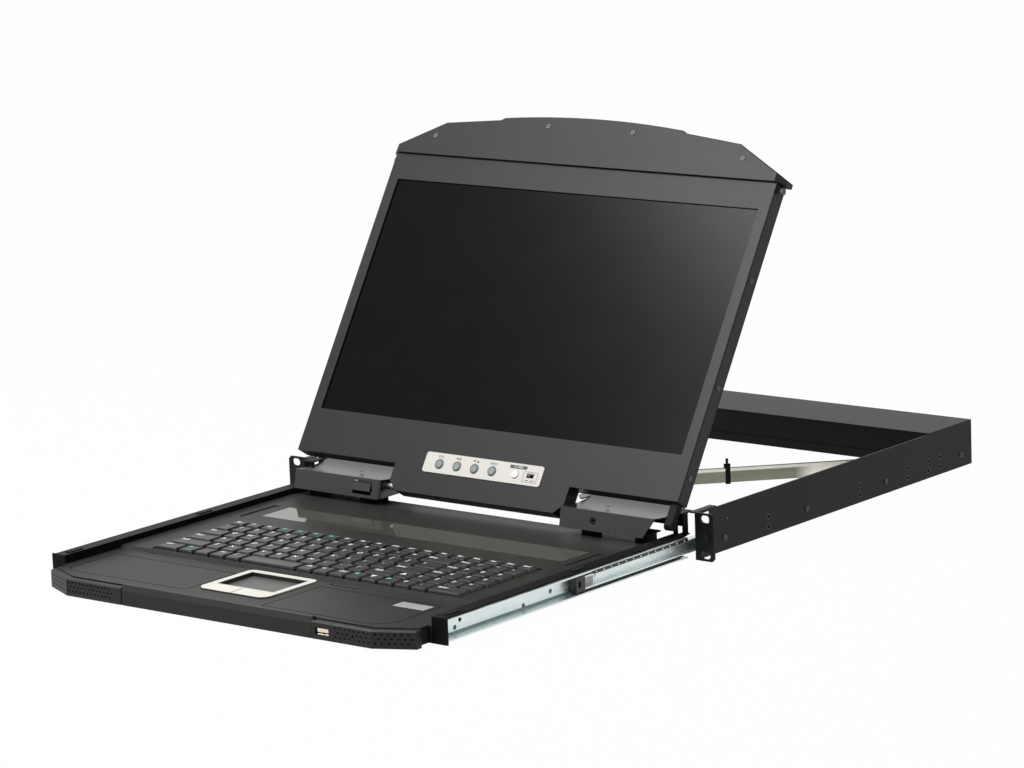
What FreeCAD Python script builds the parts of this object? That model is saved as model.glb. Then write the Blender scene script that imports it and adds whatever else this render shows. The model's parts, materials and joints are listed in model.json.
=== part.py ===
"""Rack console drawer: a 1U chassis with ears, ball-bearing slides, a keyboard tray and a folding display.

Millimetres. X runs to the right, Y back into the rack and Z up. The pieces are drawn with Y = 0 on the
front face of the rack ears and Z = 0 on the underside of the chassis, and export() lowers them so that
the origin is the middle of the ear faces. The drawer is drawn fully out, with the display open.
"""
import FreeCAD, Part
import math
import os

V = FreeCAD.Vector

# chassis
chassis_width = 446.6
chassis_height = 42.0
chassis_depth = 436.0
side_sheet = 1.5
ear_margin = 8.75
ear_sheet = 2.0
ear_hole_spacing_x = 465.1
ear_hole_spacing_z = 31.75
ear_slot_radius = 3.4
ear_slot_length = 9.6
side_window_y = (4.0, 20.5)
side_window_z = (27.5, 39.5)
guide_flange_length = 30.0
guide_flange_width = 7.0
rear_box_depth = 70.5
rear_box_height = 31.0
box_sheet = 1.2
bracket_hole_radius = 1.65
bracket_hole_spacing = 9.0
bracket_hole_low = 7.4
bracket_hole_rows = (106.6, 249.0, 327.8, 361.9, 382.3)
side_screw_rows = (41.2, 165.8, 291.6, 418.1)
side_screw_height = 11.5

# slides
travel = 336.0
slide_sheet = 1.2
slide_height = 18.2
slide_bottom = 3.2
ball_radius = 1.0
ball_clearance = 0.1
slide_web_x = 208.4
drawer_member_width = 11.2
drawer_member_length = 323.2
middle_member_length = 320.0
chassis_member_front = 20.0
chassis_member_length = 325.0
retainer_sheet = 0.5
retainer_length = 134.0
balls_in_row = 6

# tray
drawer_front = -367.8
tray_front = -361.0
tray_rear = -5.0
tray_half_width = 206.8
tray_sheet = 1.2
deck_wall = 2.0
deck_height = 17.8
deck_slope_front = -40.0
deck_slope_drop = 2.8
palm_height = 15.4
corner_x = 169.5
corner_half_width = 203.4
corner_depth = 16.2
rim_inner = 204.2
rim_outer = 217.0
rim_top = 22.9
rim_front = -333.0
front_bottom = -0.5
grip_top = 14.5
bar_half_width = 106.0
bar_top = 17.0

# keyboard and touch pad
key_pitch = 18.0
key_gap = 1.6
key_row_depth = 19.0
function_row_depth = 15.0
keyboard_front = -259.0
key_bottom = 14.2
key_top = 20.2
key_taper = 1.6
key_travel = 2.2
key_stem = 4.0
stem_clearance = 0.3
key_plate_top = 12.0
key_plate_thickness = 1.5
keyboard_rows = (
    (1.5, 1, 1, 1, 1, -3.5, 1, 1, 1, 1, 1, 1, 1, 1, 2),
    (2.25,) + (1,) * 10 + (1.75,) + (1,) * 5,
    (1.75,) + (1,) * 11 + (2.25,) + (1,) * 4,
    (1.5,) + (1,) * 12 + (1.5,) + (1,) * 4,
    (1,) * 13 + (2,) + (1,) * 4,
    (1,) * 19,
)
key_groups = {"bottom_keys": (0,), "letter_keys": (1, 2, 3), "number_keys": (4,), "function_keys": (5,)}
pad_centre_x = -8.8
pad_width = 75.6
pad_back = -268.5
pad_depth = 69.5
pad_rim = 6.4
pad_button_depth = 17.0
pad_rise = 1.0
button_gap = 0.35
panel_strip_half_width = 170.0
panel_strip_front = -119.0
panel_strip_depth = 38.0
panel_strip_sink = 1.2

# hinge and display
hinge_y = -19.8
hinge_z = 32.7
open_tilt = 32.07
hinge_drop = 62.0
hinge_depth = 7.5
screen_width = 409.8
screen_height = 230.4
glass_thickness = 3.2
bezel_border = 10.8
bezel_head = 25.8
bezel_bottom = -42.0
display_thickness = 15.1
display_sheet = 1.5
chin_half_width = 99.0
chin_bottom = -67.5
chin_chamfer = 9.0
cap_overhang = 6.3
cap_side_height = 4.5
cap_shoulder_width = 54.8
cap_shoulder_height = 32.6
cap_step_width = 116.5
cap_step_height = 39.0
cap_step_rise = 2.4
cap_height = 46.5
cap_proud = 2.8
cap_wall = 2.0
cap_end_bevel = 7.6
cap_screws_x = (48.0, 174.4)
cap_screws_height = (35.5, 18.5)
side_screws_height = (-18.0, 65.5, 166.0)
latch_height = 251.0
shaft_radius = 3.0
running_clearance = 0.05
shaft_clearance = 0.4
cover_inner = 103.0
cover_outer = 203.0
cover_bottom = 23.2
cover_wall = 1.5
osd_left = -66.0
osd_right = 67.0
osd_bottom = -46.4
osd_top = -27.4
osd_thickness = 0.8
osd_button_radius = 4.4
osd_button_row = -37.8
osd_button_first = -48.7
osd_button_pitch = 20.0
power_button_x = 37.5
power_button_radius = 3.6
mode_switch_x = 54.3
mode_switch_travel = 2.0
button_clearance = 0.3

# cable arm
arm_pivot_x = 195.0
arm_pivot_y = 355.0
arm_rear_length = 398.0
arm_front_length = 78.0
arm_front_pivot_x = -126.0
arm_front_pivot_y = 5.0
arm_rear_angle = 45.8
arm_front_angle = 56.1
arm_bottom = 5.0
arm_height = 13.8
arm_sheet = 2.0
arm_pin_radius = 3.0
arm_level_gap = 0.3
cable_tie_place = 160.0

# values worked out from the sizes above
half_width = chassis_width / 2
inner_half = half_width - side_sheet
ear_span = ear_hole_spacing_x + 2 * ear_margin
box_front = chassis_depth - rear_box_depth
box_bottom = chassis_height - rear_box_height
ball_gap = 2 * ball_radius + 2 * ball_clearance
slide_top = slide_bottom + slide_height
middle_member_front = chassis_member_front - travel / 2 - 2.0
display_half_width = screen_width / 2 + bezel_border
bezel_top = screen_height + bezel_head
cap_half_width = display_half_width + cap_overhang
cap_bottom = bezel_top + 0.3
arm_top = arm_bottom + arm_height
hinge_line = V(0, hinge_y, hinge_z)


def box(x, y, z):
    """A block from three (low, high) pairs."""
    return Part.makeBox(x[1] - x[0], y[1] - y[0], z[1] - z[0], V(x[0], y[0], z[0]))


def rod(radius, start, end):
    """A round bar between two points."""
    along = V(*end) - V(*start)
    return Part.makeCylinder(radius, along.Length, V(*start), along)


def prism(points, along):
    """Extrude a closed flat outline."""
    corners = [V(*point) for point in points]
    wire = Part.makePolygon(corners + corners[:1])
    return Part.Face(wire).extrude(V(*along))


def across(outline, low, high):
    """Extrude a (y, z) outline across the drawer."""
    return prism([(low, y, z) for y, z in outline], (high - low, 0, 0))


def lengthwise(outline, low, high):
    """Extrude an (x, z) outline from front to back."""
    return prism([(x, low, z) for x, z in outline], (0, high - low, 0))


def plan(outline, low, high):
    """Extrude an (x, y) outline upwards."""
    return prism([(x, y, low) for x, y in outline], (0, 0, high - low))


def rounded_slab(x, y, z, radius):
    """A slab whose upright edges are rounded."""
    slab = box(x, y, z)
    upright = [e for e in slab.Edges if abs(e.tangentAt(0).z) > 0.9]
    return slab.makeFillet(radius, upright)


def mirrored(shape):
    """The same piece on the other side of the drawer."""
    return shape.mirror(V(0, 0, 0), V(1, 0, 0))


def joined(shapes):
    """Fuse a list of shapes into one solid."""
    shapes = list(shapes)
    return shapes[0].multiFuse(shapes[1:]).removeSplitter()


def without(shape, cutters):
    """Cut a list of shapes out of a piece."""
    return shape.cut(list(cutters))


def group(shapes):
    """Separate solids that share one node."""
    return Part.makeCompound(list(shapes))


def on_display(shape):
    """Place a piece drawn on an upright display, whose (x, -n, v) origin is the foot of the screen."""
    placed = shape.copy()
    placed.translate(V(0, -hinge_depth, hinge_drop))
    placed.rotate(V(0, 0, 0), V(1, 0, 0), -open_tilt)
    placed.translate(hinge_line)
    return placed


def facing(outline, low, high):
    """Extrude an (x, v) outline of the display from depth low to high, counted out of its face."""
    return prism([(x, -low, v) for x, v in outline], (0, low - high, 0))


# ---------------------------------------------------------------- chassis

def ear_slot(z):
    """A rack-ear slot that runs along X."""
    centre = ear_hole_spacing_x / 2
    reach = ear_slot_length / 2 - ear_slot_radius
    ends = [rod(ear_slot_radius, (centre + s * reach, -1, z), (centre + s * reach, ear_sheet + 1, z))
            for s in (-1, 1)]
    middle = box((centre - reach, centre + reach), (-1, ear_sheet + 1),
                 (z - ear_slot_radius, z + ear_slot_radius))
    return joined(ends + [middle])


def side_panel():
    """The right-hand side of the chassis, bent out into its ear and in at its top."""
    nick = 2.5
    wall = box((inner_half, half_width), (0, chassis_depth), (0, chassis_height - box_sheet))
    front = box((inner_half, half_width), (0, guide_flange_length), (0, chassis_height))
    ear = lengthwise([(inner_half, nick), (inner_half + nick, 0), (ear_span / 2 - nick, 0),
                      (ear_span / 2, nick), (ear_span / 2, chassis_height - nick),
                      (ear_span / 2 - nick, chassis_height), (inner_half, chassis_height)], 0, ear_sheet)
    flange = box((half_width - guide_flange_width, half_width), (0, guide_flange_length),
                 (chassis_height - box_sheet, chassis_height))
    middle = chassis_height / 2
    cuts = [ear_slot(middle + s * ear_hole_spacing_z / 2) for s in (-1, 1)]
    cuts.append(rod(ear_slot_radius, (ear_hole_spacing_x / 2, -1, middle),
                    (ear_hole_spacing_x / 2, ear_sheet + 1, middle)))
    cuts.append(box((inner_half - 1, half_width + 1), side_window_y, side_window_z))
    for y in bracket_hole_rows:
        for z in (bracket_hole_low, bracket_hole_low + bracket_hole_spacing):
            cuts.append(rod(bracket_hole_radius, (inner_half - 1, y, z), (half_width + 1, y, z)))
    return without(joined([wall, front, ear, flange]), cuts)


def ear_collar():
    """The captive screw collar in the middle hole of the ear."""
    centre = ear_hole_spacing_x / 2
    middle = chassis_height / 2
    collar = rod(ear_slot_radius, (centre, -0.4, middle), (centre, ear_sheet + 3, middle))
    flange = rod(5.2, (centre, -1.2, middle), (centre, 0, middle))
    return without(joined([collar, flange]),
                   [rod(1.9, (centre, -2, middle), (centre, ear_sheet + 4, middle))])


def side_screws():
    """Round-headed screws along both sides of the chassis."""
    head = 0.9
    heads = []
    for side in (-1, 1):
        for y in side_screw_rows:
            z = side_screw_height
            heads.append(rod(2.4, (side * half_width, y, z), (side * (half_width + head), y, z)))
    return group(heads)


def rear_box_tray():
    """The channel across the back that holds the electronics."""
    wall = inner_half - 0.1
    y0, y1 = box_front, chassis_depth - side_sheet
    z0, z1 = box_bottom, chassis_height - box_sheet
    lip = 8.0
    profile = [(y0 - box_sheet, z0), (y0 - box_sheet, z0 + lip), (y0, z0 + lip), (y0, z1),
               (y0 + box_sheet, z1), (y0 + box_sheet, z0 + box_sheet), (y1 - box_sheet, z0 + box_sheet),
               (y1 - box_sheet, z1), (y1, z1), (y1, z0)]
    channel = across(profile, -wall, wall)
    inlet = box((-150, -122), (y1 - 3, y1 + 1), (z0 + 4, z0 + 24))
    port = box((60, 92), (y1 - 3, y1 + 1), (z0 + 5, z0 + 20))
    return without(channel, [inlet, port])


def rear_box_cover():
    """The deck that closes the electronics channel."""
    return box((-half_width, half_width), (box_front - side_sheet, chassis_depth),
               (chassis_height - box_sheet, chassis_height))


def power_inlet():
    """The mains inlet in the rear wall."""
    y1 = chassis_depth - side_sheet
    z0 = box_bottom
    body = box((-150, -122), (y1 - 24, y1), (z0 + 4, z0 + 24))
    mouth = rounded_slab((-147, -125), (y1 - 16, y1 + 1), (z0 + 7, z0 + 21), 2.0)
    pins = [box((x - 1, x + 1), (y1 - 16, y1 - 3), (z0 + 12, z0 + 16)) for x in (-142, -136, -130)]
    return joined([without(body, [mouth])] + pins)


def console_port():
    """The console cable socket in the rear wall."""
    y1 = chassis_depth - side_sheet
    z0 = box_bottom
    body = box((60, 92), (y1 - 22, y1), (z0 + 5, z0 + 20))
    mouth = box((63, 89), (y1 - 7, y1 + 1), (z0 + 10.5, z0 + 17.5))
    return without(body, [mouth])


def controller_board():
    """The circuit board on the floor of the channel."""
    z0 = box_bottom + box_sheet
    y0 = box_front + 6
    board = box((-100, 200), (y0, y0 + 44), (z0 + 3, z0 + 4.6))
    posts = [box((x - 3, x + 3), (y - 3, y + 3), (z0, z0 + 3))
             for x in (-90, 50, 190) for y in (y0 + 5, y0 + 39)]
    chips = [box((x, x + 14), (y0 + 14, y0 + 28), (z0 + 4.6, z0 + 7)) for x in (-60, 0, 110, 150)]
    return joined([board, console_port()] + posts + chips)


def power_supply():
    """The enclosed supply with its mains inlet."""
    z0 = box_bottom + box_sheet
    case = box((-214, -152), (box_front + 6, box_front + 56), (z0, z0 + 24))
    y1 = chassis_depth - side_sheet
    neck = box((-156, -148), (y1 - 20, y1 - 14), (z0 + 4, z0 + 20))
    return joined([case, neck, power_inlet()])


# ---------------------------------------------------------------- slides

def channel_profile(web, reach, low, high, sheet):
    """A C section in (x, z): a web at x = web and two flanges that reach to x = reach."""
    inner = web + math.copysign(sheet, reach - web)
    return [(web, low), (reach, low), (reach, low + sheet), (inner, low + sheet),
            (inner, high - sheet), (reach, high - sheet), (reach, high), (web, high)]


drawer_member_low = slide_bottom
drawer_member_high = slide_top
middle_low = slide_bottom + slide_sheet + ball_gap
middle_high = slide_top - slide_sheet - ball_gap
middle_web = slide_web_x + slide_sheet + 2 * retainer_sheet + 0.4
middle_reach = slide_web_x + drawer_member_width - 1.6
fixed_low = middle_low + slide_sheet + ball_gap
fixed_high = middle_high - slide_sheet - ball_gap
fixed_reach = middle_web + slide_sheet + 2 * retainer_sheet + 0.8
ball_x = (fixed_reach + middle_reach) / 2


def drawer_member():
    """The slide member that is riveted to the drawer."""
    profile = channel_profile(slide_web_x, slide_web_x + drawer_member_width, drawer_member_low,
                              drawer_member_high, slide_sheet)
    front = rim_front + 1.8
    member = lengthwise(profile, front, front + drawer_member_length)
    hole = rod(2.0, (slide_web_x - 1, front + 27, 14.7), (slide_web_x + 3, front + 27, 14.7))
    heads = [rod(2.3, (slide_web_x + slide_sheet, y, z), (slide_web_x + slide_sheet + 0.3, y, z))
             for y, z in ((front + 12, 14.7), (front + 98, 9.7), (front + 134, 14.7))]
    return joined([without(member, [hole])] + heads)


def middle_member():
    """The slide member between the drawer's and the chassis's, with its black stop."""
    profile = channel_profile(middle_web, middle_reach, middle_low, middle_high, slide_sheet)
    end = middle_member_front + middle_member_length
    member = lengthwise(profile, middle_member_front, end)
    centre = (middle_low + middle_high) / 2
    low, high = middle_web - 1, middle_web + 2
    holes = [rod(r, (low, middle_member_front + y, centre), (high, middle_member_front + y, centre))
             for r, y in ((2.2, 22), (1.2, 38), (1.2, 75))]
    return without(member, holes)


def middle_stop():
    """The moulded stop on the front end of the middle member."""
    length = 12.0
    front = middle_member_front - length
    z = (middle_low - 0.9, middle_high + 0.9)
    body = box((middle_web, middle_reach), (front, middle_member_front), z)
    notch = box((middle_web + 3, middle_reach + 1), (front + 3, front + 6), (middle_low + 3, middle_high - 3))
    return without(body, [notch])


def chassis_member():
    """The slide member that is screwed to the side of the chassis."""
    profile = channel_profile(inner_half, fixed_reach, fixed_low, fixed_high, slide_sheet)
    return lengthwise(profile, chassis_member_front, chassis_member_front + chassis_member_length)


def retainer_rows(outer):
    """The front edge, web place and ball heights of a retainer."""
    if outer:
        return middle_member_front + 4, slide_web_x + slide_sheet + 0.3, (middle_high, middle_low)
    return chassis_member_front + 6, middle_web + slide_sheet + 0.3, (fixed_high, fixed_low)


def ball_places(outer):
    """The centres of the balls in one retainer."""
    front, _, (top, bottom) = retainer_rows(outer)
    pitch = retainer_length / balls_in_row
    rise = ball_gap / 2
    return [(ball_x, front + pitch * (i + 0.5), z)
            for i in range(balls_in_row) for z in (top + rise, bottom - rise)]


def ball_retainer(outer):
    """The pressed strip that spaces the balls between two members."""
    front, web, (top, bottom) = retainer_rows(outer)
    middle = ball_gap / 2
    half = retainer_sheet / 2
    profile = channel_profile(web, middle_reach, bottom - middle - half, top + middle + half, retainer_sheet)
    strip = lengthwise(profile, front, front + retainer_length)
    hole = ball_radius + 0.1
    size = 2 * hole
    holes = [box((x - hole, x + hole), (y - hole, y + hole), (z - size, z + size))
             for x, y, z in ball_places(outer)]
    return without(strip, holes)


def ball(x, y, z):
    """A steel ball drawn with a few flat facets."""
    sides = 8
    low_radius = 0.55 * ball_radius

    def ring(radius, height):
        angles = [2 * math.pi * i / sides for i in range(sides)]
        corners = [V(x + radius * math.cos(a), y + radius * math.sin(a), z + height) for a in angles]
        return Part.makePolygon(corners + corners[:1])
    band = 0.35 * ball_radius
    rings = [ring(low_radius, -ball_radius), ring(ball_radius, -band), ring(ball_radius, band),
             ring(low_radius, ball_radius)]
    return Part.makeLoft(rings, True, True)


def slide_balls(outer):
    """The balls of one retainer."""
    return group(ball(*place) for place in ball_places(outer))


# ---------------------------------------------------------------- tray

def base_pan():
    """The folded pan under the keyboard."""
    y0, y1 = tray_front + 2, tray_rear
    side_front = rim_front + 1.8
    narrow = tray_half_width - 8
    outline = [(-narrow, y0 + 14), (-corner_x, y0), (corner_x, y0), (narrow, y0 + 14), (narrow, side_front),
               (tray_half_width, side_front), (tray_half_width, y1), (-tray_half_width, y1),
               (-tray_half_width, side_front), (-narrow, side_front)]
    floor = plan(outline, 0, tray_sheet)
    sides = [box(sorted((s * tray_half_width, s * (tray_half_width - tray_sheet))), (side_front, y1),
                 (0, palm_height - deck_wall)) for s in (-1, 1)]
    rear = box((-tray_half_width, tray_half_width), (y1 - tray_sheet, y1), (0, palm_height - deck_wall))
    return joined([floor, rear, arm_tab()] + sides)


def deck_rear_height(y):
    """The height of the deck where it falls towards its rear edge."""
    share = (y - deck_slope_front) / (tray_rear - deck_slope_front)
    return deck_height - deck_slope_drop * share


def deck_profile(inset):
    """The (y, z) outline of the deck, inset by a wall."""
    front = tray_front + inset
    rear = tray_rear - tray_sheet - inset
    step = keyboard_front - 7
    return [(front, tray_sheet), (front, palm_height - inset), (step, palm_height - inset),
            (step + 4, deck_height - inset), (deck_slope_front, deck_height - inset),
            (rear, deck_rear_height(rear) - inset), (rear, tray_sheet)]


def deck_plan(inset):
    """The (x, y) outline of the deck, with cropped front corners."""
    side = rim_inner - inset
    edge = corner_half_width - 2.4 - inset
    front = tray_front + inset
    return [(-edge, front + 15.5), (-corner_x + 1.5, front), (corner_x - 1.5, front), (edge, front + 15.5),
            (edge, rim_front - 0.5), (side, rim_front - 0.5), (side, tray_rear - inset),
            (-side, tray_rear - inset), (-side, rim_front - 0.5), (-edge, rim_front - 0.5)]


def keyboard_extent():
    """The (x, y) extent of all the keys."""
    half = sum(abs(units) for units in keyboard_rows[0]) * key_pitch / 2
    depth = (len(keyboard_rows) - 1) * key_row_depth + function_row_depth
    return (-half, half), (keyboard_front, keyboard_front + depth)


def deck():
    """The moulded deck with the keyboard opening, the palm rest and the recesses."""
    inside = rim_inner - deck_wall
    shell = across(deck_profile(0), -rim_inner, rim_inner).common(plan(deck_plan(0), 0, deck_height + 1))
    hollow = across(deck_profile(deck_wall), -inside, inside)
    hollow = hollow.common(plan(deck_plan(deck_wall), -1, deck_height + 1))
    (x0, x1), (y0, y1) = keyboard_extent()
    margin = 1.2
    cuts = [hollow, box((x0 - margin, x1 + margin), (y0 - margin, y1 + margin), (0, deck_height + 1))]
    cuts.append(box((-panel_strip_half_width, panel_strip_half_width),
                    (panel_strip_front, panel_strip_front + panel_strip_depth),
                    (deck_height - panel_strip_sink, deck_height + 1)))
    for side in (-1, 1):
        cuts.append(box(sorted((side * 180, side * 187)), (-130, -82), (deck_height - 0.8, deck_height + 1)))
    opening = pad_opening()
    cuts.append(opening)
    return without(shell, cuts)


def pad_extent():
    """The (x, y) extent of the touch-pad surround."""
    return ((pad_centre_x - pad_width / 2, pad_centre_x + pad_width / 2), (pad_back - pad_depth, pad_back))


def pad_opening():
    """The hole in the palm rest under the touch pad."""
    (x0, x1), (y0, y1) = pad_extent()
    inset = 2.5
    return box((x0 + inset, x1 - inset), (y0 + inset, y1 - inset), (0, deck_height + 1))


def pad_frame():
    """The pale surround of the touch pad, with a step that drops into the deck."""
    (x0, x1), (y0, y1) = pad_extent()
    inset = 2.8
    front = y0 + pad_button_depth
    rim = rounded_slab((x0, x1), (front, y1), (palm_height, palm_height + pad_rise), 6.0)
    square = box((x0, x1), (front, front + 8), (palm_height, palm_height + pad_rise))
    plug = box((x0 + inset, x1 - inset), (front, y1 - inset), (palm_height - 2.6, palm_height))
    hole = box((x0 + pad_rim, x1 - pad_rim), (front + 1.5, y1 - pad_rim), (0, deck_height + 1))
    return without(joined([rim, square, plug]), [hole])


def pad_module():
    """The sensing plate of the touch pad, on its board and four posts."""
    (x0, x1), (y0, y1) = pad_extent()
    low = palm_height - 4.0
    plate = box((x0 + 3.5, x1 - 3.5), (y0 + pad_button_depth, y1 - 3.5), (low, palm_height - 2.6))
    board = box((x0 + 4, x1 - 4), (y0 + 4, y1 - 4), (low - 1.6, low))
    posts = [box((x - 2, x + 2), (y - 2, y + 2), (tray_sheet, low - 1.6))
             for x in (x0 + 8, x1 - 8) for y in (y0 + 8, y1 - 8)]
    return joined([plate, board] + posts)


def pad_button(side):
    """One of the two bars in front of the pad."""
    (x0, x1), (y0, _) = pad_extent()
    middle = pad_centre_x
    low, high = (x0, middle - button_gap / 2) if side < 0 else (middle + button_gap / 2, x1)
    top = palm_height + pad_rise
    bar = box((low, high), (y0, y0 + pad_button_depth - button_gap), (palm_height + 0.5, top))
    corner = [e for e in bar.Edges if abs(e.tangentAt(0).z) > 0.9
              and abs(e.CenterOfMass.x - (x0 if side < 0 else x1)) < 0.1 and abs(e.CenterOfMass.y - y0) < 0.1]
    bar = bar.makeFillet(9.0, corner)
    inset = 3.4
    stem = box((max(low, x0 + inset), min(high, x1 - inset)),
               (y0 + inset, y0 + pad_button_depth - button_gap), (palm_height - 3.2, palm_height + 0.5))
    return joined([bar, stem])


def panel_strip():
    """The glossy strip behind the keyboard."""
    gap = 0.2
    return box((-panel_strip_half_width + gap, panel_strip_half_width - gap),
               (panel_strip_front + gap, panel_strip_front + panel_strip_depth - gap),
               (deck_height - panel_strip_sink, deck_height - 0.1))


def side_rim():
    """The raised rim beside the keyboard, which hangs the drawer on its slide."""
    cover = 1.2
    profile = [(rim_inner, palm_height), (rim_inner, rim_top), (rim_outer, rim_top),
               (rim_outer, rim_top - cover), (slide_web_x, rim_top - cover), (slide_web_x, 0.6),
               (tray_half_width, 0.6), (tray_half_width, palm_height)]
    rim = lengthwise(profile, rim_front, tray_rear)
    end_wall = box((rim_inner, rim_outer + 2.6), (rim_front, rim_front + 1.8), (0.6, rim_top))
    return joined([rim, end_wall, corner_bracket()])


def rim_pads():
    """Rubber pads that the folded display rests against."""
    thickness = 0.8
    middle = (rim_inner + rim_outer) / 2
    z = (rim_top, rim_top + thickness)
    return group(rounded_slab((s * middle - 3, s * middle + 3), (y - 9, y + 9), z, 2.5)
                 for s in (-1, 1) for y in (rim_front + 18, -150.0))


def grip():
    """The right-hand front grip, with its cropped corner."""
    outline = [(bar_half_width, drawer_front), (corner_x, drawer_front),
               (corner_half_width, drawer_front + corner_depth), (corner_half_width, tray_front + 15.5),
               (corner_half_width - 2.4, tray_front + 15.5), (corner_x - 1.5, tray_front),
               (bar_half_width, tray_front)]
    body = plan(outline, front_bottom, grip_top)
    top_front = [e for e in body.Edges if e.BoundBox.ZMin > grip_top - 0.1 and e.Length > 20
                 and abs(e.tangentAt(0).x) > 0.5 and e.CenterOfMass.y < drawer_front + corner_depth * 0.55]
    return body.makeChamfer(1.2, top_front)


usb_x = (110.0, 124.5)
usb_z = (3.2, 9.6)
reset_x = 150.0


def right_grip():
    """The right grip with the socket and the reset hole."""
    socket = box(usb_x, (drawer_front - 1, tray_front + 1), usb_z)
    reset = rod(1.1, (reset_x, drawer_front - 1, 6.6), (reset_x, drawer_front + 5, 6.6))
    return without(grip(), [socket, reset])


def usb_socket():
    """The metal socket in the right grip."""
    wall = 0.6
    back = tray_front - 0.1
    x0, x1 = usb_x[0] + 0.2, usb_x[1] - 0.2
    z0, z1 = usb_z[0] + 0.2, usb_z[1] - 0.2
    shell = box((x0, x1), (drawer_front + 0.3, back), (z0, z1))
    mouth = box((x0 + wall, x1 - wall), (drawer_front - 1, back - wall), (z0 + wall, z1 - wall))
    tongue = box((usb_x[0] + 1.6, usb_x[1] - 1.6), (drawer_front + 1, back - wall / 2), (6.6, 8.2))
    return joined([without(shell, [mouth]), tongue])


def front_bar():
    """The raised bar in the middle of the drawer front."""
    slope = 2.8
    profile = [(drawer_front, front_bottom), (drawer_front, bar_top - 5), (drawer_front + slope, bar_top),
               (tray_front - 1.5, bar_top), (tray_front, palm_height + 0.6), (tray_front, front_bottom)]
    bar = across(profile, -bar_half_width, bar_half_width)
    ends = [e for e in bar.Edges if abs(e.CenterOfMass.x) > bar_half_width - 0.1
            and e.BoundBox.YMax < tray_front - 1.6]
    return bar.makeChamfer(1.2, ends)


# ---------------------------------------------------------------- keyboard

def key_centres(index):
    """The (x, y, width, depth) of each key of a row; a negative width marks the space bar."""
    (x, _), (y0, _) = keyboard_extent()
    depth = function_row_depth if index == len(keyboard_rows) - 1 else key_row_depth
    y = y0 + index * key_row_depth + depth / 2
    places = []
    for units in keyboard_rows[index]:
        width = abs(units) * key_pitch
        places.append((x + width / 2, y, math.copysign(width, units), depth))
        x += width
    return places


def key(x, y, width, depth):
    """A key cap that narrows towards its top, on its square stem."""
    half_x = (width - key_gap) / 2
    half_y = (depth - key_gap) / 2
    top_x = half_x - key_taper
    top_y = half_y - key_taper
    height = key_top - key_bottom
    cap = Part.makeWedge(-half_x, 0, -half_y, -top_y, -top_x, half_x, height, half_y, top_y, top_x)
    cap.rotate(V(0, 0, 0), V(1, 0, 0), 90)
    cap.translate(V(x, y, key_bottom))
    half = key_stem / 2
    foot = key_plate_top - key_plate_thickness - 0.3
    return cap.fuse(box((x - half, x + half), (y - half, y + half), (foot, key_bottom + 0.5)))


def key_set(rows):
    """All the keys of some rows but the space bar."""
    return group(key(x, y, w, d) for index in rows for x, y, w, d in key_centres(index) if w > 0)


def space_bar():
    """The long key of the bottom row."""
    x, y, width, depth = [place for place in key_centres(0) if place[2] < 0][0]
    return key(x, y, -width, depth)


def key_plate():
    """The plate that guides the key stems."""
    (x0, x1), (y0, y1) = keyboard_extent()
    plate = box((x0 - 5, x1 + 5), (y0 - 4, y1 + 5), (key_plate_top - key_plate_thickness, key_plate_top))
    half = key_stem / 2 + stem_clearance
    holes = [box((x - half, x + half), (y - half, y + half), (0, deck_height))
             for index in range(len(keyboard_rows)) for x, y, _, _ in key_centres(index)]
    legs = [box((x - 2, x + 2), (y - 2, y + 2), (tray_sheet, key_plate_top - key_plate_thickness))
            for x in (x0 - 2.5, x1 + 2.5) for y in (y0 - 2, (y0 + y1) / 2, y1 + 2.5)]
    return joined([without(plate, holes)] + legs)


def key_circuit():
    """The contact sheet under the keys."""
    (x0, x1), (y0, y1) = keyboard_extent()
    top = key_plate_top - key_plate_thickness - 0.3 - key_travel - 0.5
    sheet = box((x0, x1), (y0 + 1, y1 - 1), (top - 1.0, top))
    ribs = [box((x - 2, x + 2), (y0 + 4, y1 - 4), (tray_sheet, top - 1.0)) for x in (-120, -40, 40, 120)]
    return joined([sheet] + ribs)


# ---------------------------------------------------------------- hinge

cover_slant = 10.0
cover_end_radius = 4.0
cover_rear = 12.0
cover_front_top = -33.4
cover_front_bottom = -37.2
cover_top = 40.6
cover_rear_rise = 2.0


def cover_face(inset, beyond):
    """The side view of a hinge cover with its hollow top, inset by a wall and reaching past open sides."""
    front_bottom_point = V(0, cover_front_bottom + inset, cover_bottom - beyond)
    front_top_point = V(0, cover_front_top + inset, cover_top - inset)
    dip_point = V(0, -15.0, 39.0 - inset)
    rear_top_point = V(0, cover_rear + beyond, chassis_height - 0.3 - inset)
    rear_bottom_point = V(0, cover_rear + beyond, cover_bottom + cover_rear_rise - beyond)
    under_point = V(0, -6.0, cover_bottom - beyond)
    edges = [Part.LineSegment(front_bottom_point, front_top_point).toShape(),
             Part.Arc(front_top_point, dip_point, rear_top_point).toShape(),
             Part.LineSegment(rear_top_point, rear_bottom_point).toShape(),
             Part.LineSegment(rear_bottom_point, under_point).toShape(),
             Part.LineSegment(under_point, front_bottom_point).toShape()]
    return Part.Face(Part.Wire(edges))


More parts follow.
